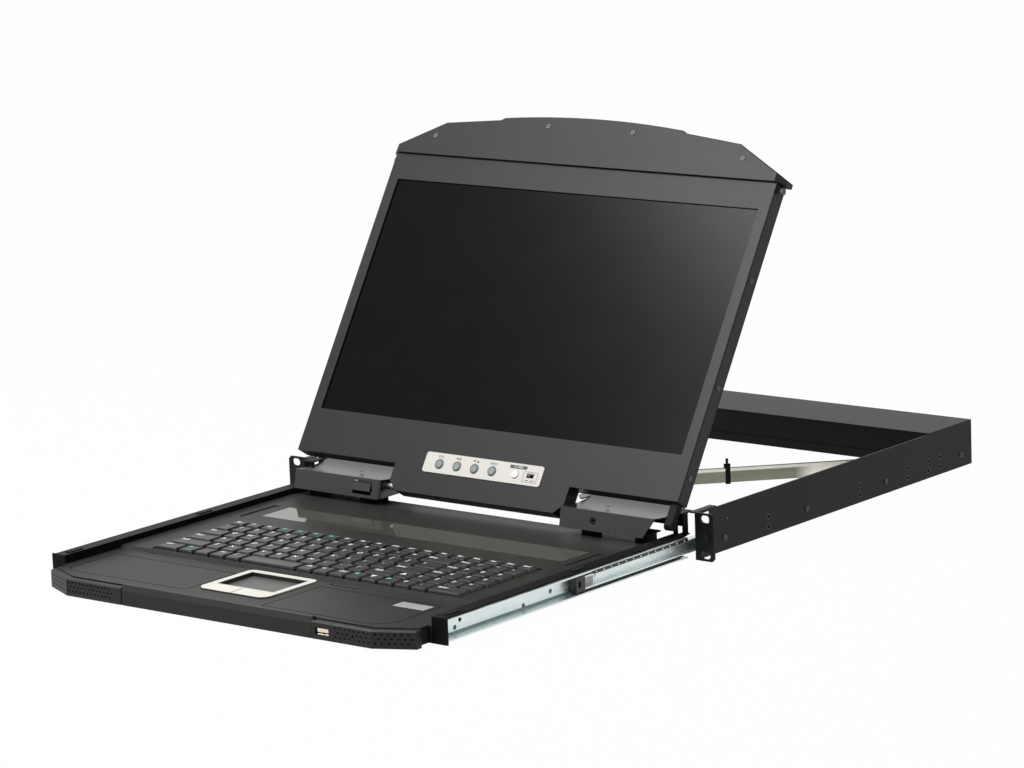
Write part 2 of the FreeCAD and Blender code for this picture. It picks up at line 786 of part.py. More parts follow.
def hinge_cover(rounded):
    """A folded hinge cover on the right: a front, a hollow top and a wall at its inner end."""
    outer = cover_face(0, 0).extrude(V(cover_outer - cover_inner, 0, 0))
    inner = cover_face(cover_wall, 1.0).extrude(V(cover_outer - cover_inner, 0, 0))
    outer.translate(V(cover_inner, 0, 0))
    inner.translate(V(cover_inner + cover_wall, 0, 0))
    if rounded:
        corner = [e for e in outer.Edges if e.BoundBox.XMax < cover_inner + 0.01
                  and e.BoundBox.YMax < cover_front_top + 0.01]
        outer = outer.makeFillet(cover_end_radius, corner)
    shaft_hole = rod(shaft_radius + shaft_clearance, (cover_inner - 1, hinge_y, hinge_z),
                     (cover_inner + 3, hinge_y, hinge_z))
    return without(outer, [inner, shaft_hole])


jack_x = 139.0
jack_z = 32.0
flap_x = (-134.0, -112.0)
flap_z = (26.0, 38.0)
flap_barrel_radius = 0.5


def right_hinge_cover():
    """The right cover, with its slanted outer edge and the hole for the service jack."""
    edge = cover_top - cover_wall
    corner = [(cover_outer, edge), (cover_outer + 1, edge), (cover_outer + 1, cover_bottom),
              (cover_outer - cover_slant, cover_bottom)]
    slant = lengthwise(corner, cover_front_bottom - 1, cover_front_top + cover_wall)
    return without(hinge_cover(False), [slant, rod(3.4, (jack_x, -40, jack_z), (jack_x, -30, jack_z))])


def left_hinge_cover():
    """The left cover, with the window of its flap."""
    return without(mirrored(hinge_cover(True)), [box(flap_x, (-40, -30), flap_z)])


def service_jack():
    """The round jack behind the right cover."""
    body = rod(3.2, (jack_x, -34.6, jack_z), (jack_x, -27, jack_z))
    foot = box((jack_x - 3, jack_x + 3), (-33, -27), (cover_bottom + 1.2, jack_z))
    return without(joined([body, foot]), [rod(1.4, (jack_x, -36, jack_z), (jack_x, -29, jack_z))])


def port_flap():
    """The small flap in the left cover, standing a little open."""
    gap = 0.3
    thickness = 1.0
    lift = 25.0
    top = flap_z[1] - gap
    low_x, high_x = flap_x[0] + gap, flap_x[1] - gap
    plate = box((low_x, high_x), (0, thickness), (-(top - flap_z[0] - 3.5), 0))
    plate.rotate(V(0, 0, 0), V(1, 0, 0), -lift)
    flap = joined([plate, rod(flap_barrel_radius, (low_x, 0, 0), (high_x, 0, 0))])
    flap.translate(V(0, cover_front_top - 1.1, flap_z[1] - flap_barrel_radius - gap))
    return flap


def hinge_bracket():
    """The right-hand hinge bracket: feet on the deck, a floor under the cover and the bearing block."""
    inset = cover_wall + 0.1
    floor = box((cover_inner + inset, cover_outer - cover_slant - inset), (-34.8, -8),
                (cover_bottom, cover_bottom + 1.2))
    front, rear = -30, -12
    foot = [(front, deck_rear_height(front)), (rear, deck_rear_height(rear)), (rear, cover_bottom),
            (front, cover_bottom)]
    feet = [across(foot, *x) for x in ((122, 131), (180, 190))]
    block_x = (114.0, 136.0)
    block = box(block_x, (hinge_y - 6, hinge_y + 6), (cover_bottom, hinge_z + 4.2))
    block = block.makeFillet(3.0, [e for e in block.Edges if abs(e.tangentAt(0).x) > 0.9
                                   and e.CenterOfMass.z > hinge_z])
    bore = rod(shaft_radius + running_clearance, (block_x[0] - 1, hinge_y, hinge_z),
               (block_x[1] + 1, hinge_y, hinge_z))
    return without(joined([floor, block] + feet), [bore])


def corner_bracket():
    """The two uprights at the rear corner of the drawer, under their turned top."""
    sheet = 1.2
    x0, x1 = rim_inner + 1.2, rim_outer - 1.6
    under = chassis_height - sheet
    inner_post = box((x0, x0 + sheet + 1), (tray_rear - 4, tray_rear), (rim_top, under))
    outer_post = box((x1 - sheet, x1), (tray_rear - 3, tray_rear + 4), (rim_top, under))
    shelf = box((x1 - 7, x1), (tray_rear - 3, tray_rear + 6), (rim_top - sheet, rim_top))
    top = box((x0 - 1.6, x1), (tray_rear - 4.4, tray_rear + 11), (under, chassis_height))
    return joined([inner_post, outer_post, shelf, top])


def hinge_shaft():
    """The right-hand hinge shaft with the leaf that is screwed into the chin."""
    inner_end = chin_half_width - chin_chamfer - 2
    leaf_width = 24.0
    shaft = Part.makeCylinder(shaft_radius, cover_inner + 35 - inner_end, V(inner_end, 0, 0), V(1, 0, 0))
    leaf = box((inner_end - leaf_width, inner_end), (-1, 1), (-1, 34))
    knuckle = Part.makeCylinder(3.8, 14, V(inner_end - 14, 0, 0), V(1, 0, 0))
    piece = joined([shaft, leaf, knuckle])
    piece.rotate(V(0, 0, 0), V(1, 0, 0), -open_tilt)
    piece.translate(hinge_line)
    return piece


# ---------------------------------------------------------------- display

def panel_outline(inset, chin=True):
    """The (x, v) outline of the display below its cap."""
    side = display_half_width - inset
    low = bezel_bottom + inset
    neck = chin_half_width - inset
    bottom = chin_bottom + inset
    crop = chin_chamfer
    return [(-side, low), (-neck, low), (-neck, bottom + crop), (-neck + crop, bottom), (neck - crop, bottom),
            (neck, bottom + crop), (neck, low), (side, low), (side, bezel_top - inset),
            (-side, bezel_top - inset)]


def shaft_cut():
    """The clearance for the hinge shafts in the sides of the chin."""
    reach = chin_half_width + 5
    v = -hinge_drop
    return rod(shaft_radius + shaft_clearance, (-reach, hinge_depth, v), (reach, hinge_depth, v))


def osd_holes(clearance):
    """The holes of the buttons and the switch, through the face."""
    deep = 4.0
    holes = [rod(osd_button_radius + clearance, (osd_button_first + i * osd_button_pitch, -2, osd_button_row),
                 (osd_button_first + i * osd_button_pitch, deep, osd_button_row)) for i in range(4)]
    holes.append(rod(power_button_radius + clearance, (power_button_x, -2, osd_button_row),
                     (power_button_x, deep, osd_button_row)))
    reach = 2.0 + mode_switch_travel
    holes.append(box((mode_switch_x - reach, mode_switch_x + reach), (-2, deep),
                     (osd_button_row - 1.6, osd_button_row + 1.6)))
    return holes


def display_bezel():
    """The folded front of the display: face, side walls and chin."""
    depth = display_thickness - display_sheet
    shell = facing(panel_outline(0), -depth, 0)
    hollow = facing(panel_outline(display_sheet), -depth - 1, -display_sheet)
    half = screen_width / 2
    window = box((-half, half), (-1, display_sheet + 1), (0, screen_height))
    return on_display(without(shell, [hollow, window, shaft_cut()] + osd_holes(button_clearance)))


def back_cover():
    """The rear plate of the display with its stiffening ribs and vents."""
    depth = display_thickness
    plate = facing(panel_outline(0), -depth, -depth + display_sheet)
    inset = display_sheet + 0.1
    rail = [box(x, (depth - 4, depth - display_sheet), (0, 240)) for x in
            ((-display_half_width + inset, -display_half_width + inset + 3),
             (display_half_width - inset - 3, display_half_width - inset))]
    vents = [box((x, x + 22), (depth - 2, depth + 1), (v, v + 2.4))
             for x in range(-150, 140, 32) for v in (206, 213, 220)]
    return on_display(without(joined([plate] + rail), vents))


def lcd_panel():
    """The screen glass with its edge frame behind the bezel window."""
    margin = 2.0
    half = screen_width / 2 + margin
    return on_display(box((-half, half), (display_sheet, display_sheet + glass_thickness),
                          (-margin, screen_height + margin)))


def backlight():
    """The light box behind the screen glass."""
    margin = 1.0
    half = screen_width / 2 + margin
    front = display_sheet + glass_thickness
    return on_display(box((-half, half), (front, display_thickness - display_sheet - 0.2),
                          (-margin, screen_height + margin)))


def display_board():
    """The control board in the chin, behind the buttons."""
    back = display_thickness - display_sheet
    board = box((-60, 62), (back - 5.6, back - 4), (-52, -12))
    posts = [box((x - 2, x + 2), (back - 4, back), (v - 2, v + 2)) for x in (-54, 56) for v in (-46, -18)]
    switch_places = [osd_button_first + i * osd_button_pitch for i in range(4)]
    switch_places += [power_button_x, mode_switch_x]
    switches = [box((x - 2, x + 2), (back - 8, back - 5.6), (osd_button_row - 2, osd_button_row + 2))
                for x in switch_places]
    return on_display(joined([board] + posts + switches))


def cap_wire(inset):
    """The outline of the top cap in (x, v), with its stepped crown and long low arc."""
    side = cap_half_width - inset
    step = cap_half_width - cap_step_width
    points = [(side, inset), (side, cap_side_height - inset / 2),
              (cap_half_width - cap_shoulder_width, cap_shoulder_height - inset),
              (step, cap_step_height - inset),
              (step - 4.0 - inset / 2, cap_step_height + cap_step_rise - inset)]
    right = [V(x, 0, cap_bottom + rise) for x, rise in points]
    left = [V(-point.x, 0, point.z) for point in reversed(right)]
    crown = V(0, 0, cap_bottom + cap_height - inset)
    edges = [Part.LineSegment(a, b).toShape() for a, b in zip(right, right[1:])]
    edges.append(Part.Arc(right[-1], crown, left[0]).toShape())
    edges += [Part.LineSegment(a, b).toShape() for a, b in zip(left, left[1:])]
    edges.append(Part.LineSegment(left[-1], right[0]).toShape())
    return Part.Wire(edges)


def top_cap():
    """The moulded cap along the top of the display."""
    full = cap_proud + display_thickness
    body = Part.Face(cap_wire(0)).extrude(V(0, full, 0))
    body.translate(V(0, -cap_proud, 0))
    front = [e for e in body.Edges if e.BoundBox.YMax < -cap_proud + 0.01
             and e.BoundBox.ZMax > cap_bottom + 1]
    body = body.makeChamfer(1.0, front)
    hollow = Part.Face(cap_wire(cap_wall)).extrude(V(0, full - 2 * cap_wall, 0))
    hollow.translate(V(0, -cap_proud + cap_wall, 0))
    face_half = cap_half_width - cap_end_bevel
    hollow = hollow.common(box((cap_wall - face_half, face_half - cap_wall), (-full, full),
                               (cap_bottom, cap_bottom + cap_height)))
    bevel = plan([(face_half, -cap_proud), (cap_half_width, cap_end_bevel - cap_proud),
                  (cap_half_width + 1, cap_end_bevel - cap_proud), (cap_half_width + 1, -cap_proud - 1),
                  (face_half, -cap_proud - 1)], cap_bottom - 1, cap_bottom + cap_height)
    return on_display(without(body, [hollow, bevel, mirrored(bevel)]))


def display_screws():
    """The screws in the face of the cap and in the side walls."""
    radius = 2.3
    head = 0.6
    heads = []
    for side in (-1, 1):
        for distance, height in zip(cap_screws_x, cap_screws_height):
            x, v = side * distance, cap_bottom + height
            heads.append(rod(radius, (x, -cap_proud - head, v), (x, -cap_proud, v)))
        for v in side_screws_height:
            x = side * display_half_width
            heads.append(rod(radius, (x, hinge_depth, v), (x + side * head, hinge_depth, v)))
    return on_display(group(heads))


def latch_studs():
    """The metal studs that latch the folded display."""
    reach = 4.6
    def stud(s):
        x = s * display_half_width
        end = x + s * reach
        neck = rod(1.8, (x, hinge_depth, latch_height), (end, hinge_depth, latch_height))
        head = rod(3.2, (end - s * 1.4, hinge_depth, latch_height), (end, hinge_depth, latch_height))
        return joined([neck, head])
    return on_display(group(stud(s) for s in (-1, 1)))


def osd_plate():
    """The pale control plate on the chin."""
    slab = box((osd_left, osd_right), (-osd_thickness, 0), (osd_bottom, osd_top))
    slab = slab.makeFillet(2.5, [e for e in slab.Edges if abs(e.tangentAt(0).y) > 0.9])
    return on_display(without(slab, osd_holes(button_clearance)))


def round_button(x, radius):
    """A round push button with a soft edge."""
    button = rod(radius, (x, -osd_thickness - 1.0, osd_button_row), (x, 1.2, osd_button_row))
    front = [e for e in button.Edges if e.BoundBox.YMax < -osd_thickness - 0.9]
    button = button.makeChamfer(0.4, front)
    stem = box((x - 1.4, x + 1.4), (1.2, display_thickness - display_sheet - 8 - 1.3),
               (osd_button_row - 1.4, osd_button_row + 1.4))
    return on_display(joined([button, stem]))


def mode_switch():
    """The small sliding switch, in its left position."""
    x = mode_switch_x - mode_switch_travel / 2
    v = osd_button_row
    knob = box((x - 1.4, x + 1.4), (-osd_thickness - 0.8, display_sheet), (v - 1.2, v + 1.2))
    keeper = box((x - 3.4, x + 3.4), (display_sheet + 0.15, display_sheet + 1.0), (v - 2.4, v + 2.4))
    neck = box((x - 1.0, x + 1.0), (display_sheet, display_sheet + 0.5), (v - 1, v + 1))
    return on_display(joined([knob, neck, keeper]))


def cable_boot():
    """The flat cable boot that leaves the display at the right-hand hinge line."""
    x0, x1 = 206.5, 214.0
    reach = hinge_drop + bezel_bottom
    round_end = rod(4.2, (x0, 0, 0), (x1, 0, 0))
    neck = box((x0, x1), (-3.4, 3.4), (0, reach))
    piece = joined([round_end, neck])
    piece.rotate(V(0, 0, 0), V(1, 0, 0), -open_tilt)
    piece.translate(hinge_line)
    return piece


# ---------------------------------------------------------------- cable arm

def turned(shape, x, y, degrees):
    """Turn a piece drawn along +X from the origin, and set it on its pivot."""
    placed = shape.copy()
    placed.rotate(V(0, 0, 0), V(0, 0, 1), degrees)
    placed.translate(V(x, y, 0))
    return placed


def arm_pivot():
    """The bracket and pin under the rear box that carry the cable arm."""
    plate = 1.5
    low = arm_bottom - arm_level_gap - plate
    y = arm_pivot_y
    head_low = arm_top + arm_level_gap
    shelf = box((arm_pivot_x - 8, arm_pivot_x + 8), (y - 8, box_front + 8), (low, low + plate))
    web = box((arm_pivot_x - 8, arm_pivot_x + 8), (box_front + 6, box_front + 8), (low, box_bottom))
    pin = rod(arm_pin_radius, (arm_pivot_x, y, low), (arm_pivot_x, y, head_low + 1.2))
    head = rod(arm_pin_radius + 2, (arm_pivot_x, y, head_low), (arm_pivot_x, y, head_low + 1.2))
    return joined([shelf, web, pin, head])


def rear_arm():
    """The long strip of the cable arm, with a curled eye and a turned tab."""
    eye = 5.2
    strip = box((0, arm_rear_length - 4), (-arm_sheet / 2, arm_sheet / 2), (arm_bottom, arm_top))
    barrel = rod(eye, (0, 0, arm_bottom), (0, 0, arm_top))
    tab = plan([(arm_rear_length - 16, -5), (arm_rear_length + 3, -5), (arm_rear_length + 5, 0),
                (arm_rear_length + 3, 5), (arm_rear_length - 16, 5)], arm_top, arm_top + 1.4)
    bore = rod(arm_pin_radius + running_clearance, (0, 0, 0), (0, 0, arm_top + 1))
    arm = without(joined([strip, barrel, tab]), [bore])
    return turned(arm, arm_pivot_x, arm_pivot_y, 180 + arm_rear_angle)


front_arm_low = arm_top + 1.4 + arm_level_gap
front_arm_high = front_arm_low + 1.5


def front_arm():
    """The short flat strip that ties the arm to the drawer."""
    end = 6.0
    strip = box((0, arm_front_length), (-4.5, 4.5), (front_arm_low, front_arm_high))
    ends = [rod(end, (x, 0, front_arm_low), (x, 0, front_arm_high)) for x in (0, arm_front_length)]
    rivet = rod(3.0, (arm_front_length, 0, front_arm_high), (arm_front_length, 0, front_arm_high + 0.8))
    bore = rod(2.5 + running_clearance, (0, 0, front_arm_low - 1), (0, 0, front_arm_high + 1))
    arm = without(joined([strip, rivet] + ends), [bore])
    return turned(arm, arm_front_pivot_x, arm_front_pivot_y, arm_front_angle)


def arm_tab():
    """The tab on the back of the drawer with the pin of the front strip."""
    x, y = arm_front_pivot_x, arm_front_pivot_y
    top = front_arm_low - arm_level_gap
    shelf = box((x - 7, x + 7), (tray_rear, y + 7), (top - 1.2, top))
    upright = box((x - 7, x + 7), (tray_rear, tray_rear + 1.2), (4, top))
    pin = rod(2.5, (x, y, top - 0.5), (x, y, front_arm_high + 0.2 + 0.8))
    head = rod(4.0, (x, y, front_arm_high + 0.2), (x, y, front_arm_high + 1.0))
    return joined([shelf, upright, pin, head])


def cable_tie():
    """The tie round the rear strip of the arm."""
    along = cable_tie_place
    gap = 0.05
    thick = 1.2
    half = arm_sheet / 2 + gap
    band = box((along - 2.2, along + 2.2), (-half - thick, half + thick),
               (arm_bottom - gap - thick, arm_top + gap + thick))
    hole = box((along - 3, along + 3), (-half, half), (arm_bottom - gap, arm_top + gap))
    head = box((along - 3, along + 3), (-half - thick - 2, -half - thick + 0.6), (arm_top - 1, arm_top + 3))
    tail = box((along - 1.2, along + 1.2), (-half - thick - 1.4, -half - thick - 0.6),
               (arm_top + 3, arm_top + 8))
    tie = without(joined([band, head, tail]), [hole])
    return turned(tie, arm_pivot_x, arm_pivot_y, 180 + arm_rear_angle)


# ---------------------------------------------------------------- nodes

def pieces():
    """Every node and its shape."""
    nodes = {
        "side_panel_right": side_panel(),
        "ear_screw_collars": group([ear_collar(), mirrored(ear_collar())]),
        "side_screws": side_screws(),
        "rear_box_tray": rear_box_tray(),
        "rear_box_cover": rear_box_cover(),
        "controller_board": controller_board(),
        "power_supply": power_supply(),
        "base_pan": base_pan(),
        "deck": deck(),
        "pad_frame": pad_frame(),
        "pad_module": pad_module(),
        "pad_button_left": pad_button(-1),
        "pad_button_right": pad_button(1),
        "panel_strip": panel_strip(),
        "rim_pads": rim_pads(),
        "grip_right": right_grip(),
        "grip_left": mirrored(grip()),
        "front_bar": front_bar(),
        "usb_socket": usb_socket(),
        "space_bar": space_bar(),
        "key_plate": key_plate(),
        "key_circuit": key_circuit(),
        "hinge_cover_right": right_hinge_cover(),
        "hinge_cover_left": left_hinge_cover(),
        "service_jack": service_jack(),
        "port_flap": port_flap(),
        "display_bezel": display_bezel(),
        "display_back": back_cover(),
        "lcd_panel": lcd_panel(),
        "backlight": backlight(),
        "display_board": display_board(),
        "top_cap": top_cap(),
        "display_screws": display_screws(),
        "latch_studs": latch_studs(),
        "control_plate": osd_plate(),
        "power_button": round_button(power_button_x, power_button_radius),
        "mode_switch": mode_switch(),
        "cable_boot": cable_boot(),
        "arm_pivot": arm_pivot(),
        "rear_arm": rear_arm(),
        "front_arm": front_arm(),
        "cable_tie": cable_tie(),
    }
    nodes["side_panel_left"] = mirrored(nodes["side_panel_right"])
    pairs = {"drawer_slide_members": drawer_member(), "middle_slide_members": middle_member(),
             "middle_slide_stops": middle_stop(), "chassis_slide_members": chassis_member(),
             "side_rims": side_rim(), "hinge_brackets": hinge_bracket(), "hinge_shafts": hinge_shaft(),
             "outer_ball_retainers": group([ball_retainer(True), slide_balls(True)]),
             "inner_ball_retainers": group([ball_retainer(False), slide_balls(False)])}
    for name, shape in pairs.items():
        nodes[name] = group([shape, mirrored(shape)])
    for name, rows in key_groups.items():
        nodes[name] = key_set(rows)
    for index in range(4):
        nodes["menu_button_%d" % (index + 1)] = round_button(osd_button_first + index * osd_button_pitch,
                                                             osd_button_radius)
    return nodes


def export(nodes):
    """Lower the pieces to the middle of the ears and write them."""
    os.makedirs("parts", exist_ok=True)
    for name, shape in nodes.items():
        placed = shape.copy()
        placed.translate(V(0, 0, -chassis_height / 2))
        placed.exportStep("parts/%s.step" % name)


export(pieces())
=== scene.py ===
"""Looks of a rack console drawer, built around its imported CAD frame.

The scene is in metres, in the row frame: X to the right, Y back into the rack, Z up, origin in
the middle of the rack-ear faces. Sizes here are in millimetres where no other unit is given,
and ON_DRAWER and ON_DISPLAY take them into the scene.
"""
import json
import math
import bpy
import bmesh
from mathutils import Matrix, Vector

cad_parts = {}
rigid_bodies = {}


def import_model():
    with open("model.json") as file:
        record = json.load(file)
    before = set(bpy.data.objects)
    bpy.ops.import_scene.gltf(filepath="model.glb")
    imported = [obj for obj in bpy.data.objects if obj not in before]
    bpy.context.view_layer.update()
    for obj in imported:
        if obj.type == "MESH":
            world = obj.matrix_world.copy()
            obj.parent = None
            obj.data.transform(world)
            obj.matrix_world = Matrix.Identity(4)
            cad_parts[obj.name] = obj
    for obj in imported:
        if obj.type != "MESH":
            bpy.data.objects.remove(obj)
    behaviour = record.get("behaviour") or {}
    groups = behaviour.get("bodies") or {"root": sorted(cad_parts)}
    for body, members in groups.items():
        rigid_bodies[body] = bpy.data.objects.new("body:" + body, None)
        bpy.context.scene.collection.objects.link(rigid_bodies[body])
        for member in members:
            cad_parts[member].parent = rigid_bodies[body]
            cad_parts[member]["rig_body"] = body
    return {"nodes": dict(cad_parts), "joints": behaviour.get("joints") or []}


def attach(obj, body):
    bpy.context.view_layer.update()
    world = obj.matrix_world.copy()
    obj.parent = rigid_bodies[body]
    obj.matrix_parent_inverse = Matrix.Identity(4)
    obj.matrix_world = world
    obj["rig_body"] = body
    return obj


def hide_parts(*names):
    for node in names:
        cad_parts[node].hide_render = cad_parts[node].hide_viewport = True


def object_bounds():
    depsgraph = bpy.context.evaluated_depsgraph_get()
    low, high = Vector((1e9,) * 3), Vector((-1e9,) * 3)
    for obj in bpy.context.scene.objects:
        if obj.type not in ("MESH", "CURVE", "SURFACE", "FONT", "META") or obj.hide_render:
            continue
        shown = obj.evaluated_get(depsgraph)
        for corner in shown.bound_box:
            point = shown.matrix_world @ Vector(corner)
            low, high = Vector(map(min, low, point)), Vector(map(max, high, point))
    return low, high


MM = 0.001
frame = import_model()
cad_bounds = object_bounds()
NODES = frame["nodes"]

# height of the row frame's origin above the underside of the chassis
EAR_MIDDLE = 21.0

# the open display: degrees that it leans back, and how far the zero of its face lies above and
# in front of the hinge line
OPEN_TILT = 32.07
HINGE_DROP = 62.0
HINGE_DEPTH = 7.5

# levels of the tray above the underside of the chassis
DECK_TOP = 17.8
PALM_TOP = 15.4


def hinge_point():
    """The middle of the display's hinge line."""
    joint = [j for j in frame["joints"] if j["name"] == "display_hinge"][0]
    return Vector(joint["pos_m"]) / MM


def display_matrix():
    """From the upright display (x, -n, v), with n counted out of its face, to the scene."""
    tilt = Matrix.Rotation(-math.radians(OPEN_TILT), 4, "X")
    foot = Matrix.Translation((0, -HINGE_DEPTH, HINGE_DROP))
    return Matrix.Scale(MM, 4) @ Matrix.Translation(hinge_point()) @ tilt @ foot


def drawer_matrix():
    """From (x, y, z), with z counted from the chassis underside, to the scene."""
    return Matrix.Scale(MM, 4) @ Matrix.Translation((0, 0, -EAR_MIDDLE))


ON_DISPLAY = display_matrix()
ON_DRAWER = drawer_matrix()


# ---------------------------------------------------------------- materials

# where most of a noise lies, and how far a normal turns at a sharp edge, as a cosine
NOISE_RANGE = (0.3, 0.7)
EDGE_TURN = (0.995, 0.8)

# paint: size of its slow clouds, and which part of the grain is lighter, by how much
CLOUD_MM = 60.0
GRAIN_RANGE = (0.35, 0.75)
GRAIN_SHARE = 0.35
GRAIN_LIGHT = 1.35

# zinc: size of the rolling marks and of the spangle, and how rubbed its edges are
ROLLING_MM = 3.0
SPANGLE_MM = 14.0
METAL_EDGE_MM = 0.25
RUBBED = 1.15

# smears on glass, copper tracks on a board, wear of printed legends
SMEAR_MM = 45.0
SMEAR_RANGE = (0.35, 0.65)
TRACK_MM = 4.0
TRACK_RANGE = (0.49, 0.53)
WEAR_MM = 0.4
WEAR_RANGE = (0.25, 0.6)
WORN = 0.7

# shares of the cable arm's box where its painted reflections change: along it, and up it
ARM_PAINTED_REFLECTION_END = (0.75, 0.79)
ARM_PAINTED_REFLECTION_BAND = (0.66, 0.73)
ARM_PAINTED_DARK_EDGE = (0.86, 0.90)


class Finish:
    """A node material that is built up from a Principled shader."""

    def __init__(self, name, roughness, metallic=0.0, specular=0.5):
        self.material = bpy.data.materials.new(name)
        self.material.use_nodes = True
        self.nodes = self.material.node_tree.nodes
        self.links = self.material.node_tree.links
        self.shader = self.nodes["Principled BSDF"]
        self.shader.inputs["Roughness"].default_value = roughness
        self.shader.inputs["Metallic"].default_value = metallic
        self.shader.inputs["Specular IOR Level"].default_value = specular
        self.place = self.nodes.new("ShaderNodeTexCoord").outputs["Object"]

    def add(self, kind, **settings):
        """A new node with its settings."""
        node = self.nodes.new(kind)
        for key, value in settings.items():
            setattr(node, key, value)
        return node

    def noise(self, size_mm, detail=3.0, stretch=(1, 1, 1)):
        """Noise whose features are about size_mm across, drawn out along an axis by stretch."""
        scale = self.add("ShaderNodeMapping")
        scale.inputs["Scale"].default_value = [s / (size_mm * MM) for s in stretch]
        self.links.new(self.place, scale.inputs["Vector"])
        noise = self.add("ShaderNodeTexNoise")
        noise.inputs["Scale"].default_value = 1.0
        noise.inputs["Detail"].default_value = detail
        self.links.new(scale.outputs["Vector"], noise.inputs["Vector"])
        return noise.outputs["Fac"]

    def spread(self, value, low, high, to_low=0.0, to_high=1.0):
        """A value from low to high taken to a new range."""
        node = self.add("ShaderNodeMapRange")
        sockets = ("From Min", "From Max", "To Min", "To Max")
        for socket, number in zip(sockets, (low, high, to_low, to_high)):
            node.inputs[socket].default_value = number
        self.links.new(value, node.inputs["Value"])
        return node.outputs["Result"]

    def blend(self, amount, first, second):
        """A colour between two; each is a colour or a socket."""
        node = self.add("ShaderNodeMix", data_type="RGBA")
        self.links.new(amount, node.inputs["Factor"])
        for socket, colour in (("A", first), ("B", second)):
            target = [i for i in node.inputs if i.name == socket and i.type == "RGBA"][0]
            if isinstance(colour, (tuple, list)):
                target.default_value = (*colour, 1)
            else:
                self.links.new(colour, target)
        return [o for o in node.outputs if o.type == "RGBA"][0]

    def colour(self, socket):
        self.links.new(socket, self.shader.inputs["Base Color"])

    def rough(self, socket):
        self.links.new(socket, self.shader.inputs["Roughness"])

    def soft_edges(self, radius_mm):
        """The normal of the surface with its edges rounded off."""
        bevel = self.add("ShaderNodeBevel", samples=4)
        bevel.inputs["Radius"].default_value = radius_mm * MM
        return bevel.outputs["Normal"]

    def bump(self, height, depth_mm, normal=None):
        """Raise the surface by a height from 0 to 1."""
        node = self.add("ShaderNodeBump")
        node.inputs["Strength"].default_value = 1.0
        node.inputs["Distance"].default_value = depth_mm * MM
        self.links.new(height, node.inputs["Height"])
        if normal is not None:
            self.links.new(normal, node.inputs["Normal"])
        self.links.new(node.outputs["Normal"], self.shader.inputs["Normal"])

    def sharp_edge_mask(self, soft):
        """A mask that is 1 on sharp edges and 0 on flats."""
        dot = self.add("ShaderNodeVectorMath", operation="DOT_PRODUCT")
        flat = self.add("ShaderNodeNewGeometry").outputs["Normal"]
        self.links.new(soft, dot.inputs[0])
        self.links.new(flat, dot.inputs[1])
        return self.spread(dot.outputs["Value"], *EDGE_TURN)


def lighter(colour, factor):
    """A colour made lighter, or darker by a factor below 1."""
    return tuple(min(1.0, c * factor) for c in colour)


def coated(name, colour, roughness=0.5, grain_mm=0.7, grain_depth=0.012, edge_mm=0.35,
           edge_wear_and_highlight=1.5, specular=0.5, cloud=0.12):
    """Painted sheet or moulded plastic: a fine grain, slow clouds of tone, and lighter edges that
    are partly wear and partly a painted highlight.
    """
    f = Finish(name, roughness, specular=specular)
    soft = f.soft_edges(edge_mm)
    grain = f.noise(grain_mm, 2.0)
    clouds = f.noise(CLOUD_MM, 2.0)
    toned = f.blend(f.spread(clouds, *NOISE_RANGE), lighter(colour, 1 - cloud),
                    lighter(colour, 1 + cloud))
    grained = f.blend(f.spread(grain, *GRAIN_RANGE, 0.0, GRAIN_SHARE), toned,
                      lighter(colour, GRAIN_LIGHT))
    # lighter sharp edges: partly wear, partly a painted highlight along them
    f.colour(f.blend(f.sharp_edge_mask(soft), grained, lighter(colour, edge_wear_and_highlight)))
    f.rough(f.spread(grain, *NOISE_RANGE, roughness - 0.05, roughness + 0.07))
    f.bump(grain, grain_depth, soft)
    return f.material


def zinc(name, colour, roughness=0.32, streak=(6, 1, 1), tint=(0.62, 0.72, 0.76)):
    """Zinc-plated steel: rolling marks along the strip, faint spangle and rubbed edges."""
    f = Finish(name, roughness, metallic=0.9)
    soft = f.soft_edges(METAL_EDGE_MM)
    marks = f.noise(ROLLING_MM, 3.0, streak)
    spangle = f.noise(SPANGLE_MM, 2.0)
    plated = f.blend(f.spread(spangle, *NOISE_RANGE), colour, tint)
    f.colour(f.blend(f.sharp_edge_mask(soft), plated, lighter(colour, RUBBED)))
    f.rough(f.spread(marks, *NOISE_RANGE, roughness - 0.08, roughness + 0.12))
    f.bump(marks, 0.006, soft)
    return f.material


def arm_steel_painted_reflections(name, dull, reflection_bright, dark):
    """A dull strip with painted reflections: bright at its rear end and along an upper band, and
    dark along its top edge.
    """
    f = Finish(name, 0.3, metallic=0.9)
    axes = f.add("ShaderNodeSeparateXYZ")
    f.links.new(f.add("ShaderNodeTexCoord").outputs["Generated"], axes.inputs["Vector"])
    along, up = axes.outputs["X"], axes.outputs["Z"]
    marks = f.noise(ROLLING_MM, 3.0, (0.2, 0.2, 1))
    # painted reflections, set by place on the strip: a bright rear end, a bright band and a dark
    # top edge
    face = f.blend(f.spread(along, *ARM_PAINTED_REFLECTION_END), dull, reflection_bright)
    with_bright_band = f.blend(f.spread(up, *ARM_PAINTED_REFLECTION_BAND), face, reflection_bright)
    f.colour(f.blend(f.spread(up, *ARM_PAINTED_DARK_EDGE), with_bright_band, dark))
    f.rough(f.spread(marks, *NOISE_RANGE, 0.22, 0.40))
    f.bump(marks, 0.002, f.soft_edges(METAL_EDGE_MM))
    return f.material


def glass(name, colour, roughness, specular):
    """The dark screen or a glossy strip, with faint smears in its gloss."""
    f = Finish(name, roughness, specular=specular)
    smear = f.noise(SMEAR_MM, 3.0, (1, 2, 1))
    f.colour(f.blend(f.spread(smear, *SMEAR_RANGE), colour, lighter(colour, 1.15)))
    f.rough(f.spread(smear, *NOISE_RANGE, roughness - 0.006, roughness + 0.01))
    f.bump(f.noise(0.5, 1.0), 0.002)
    return f.material


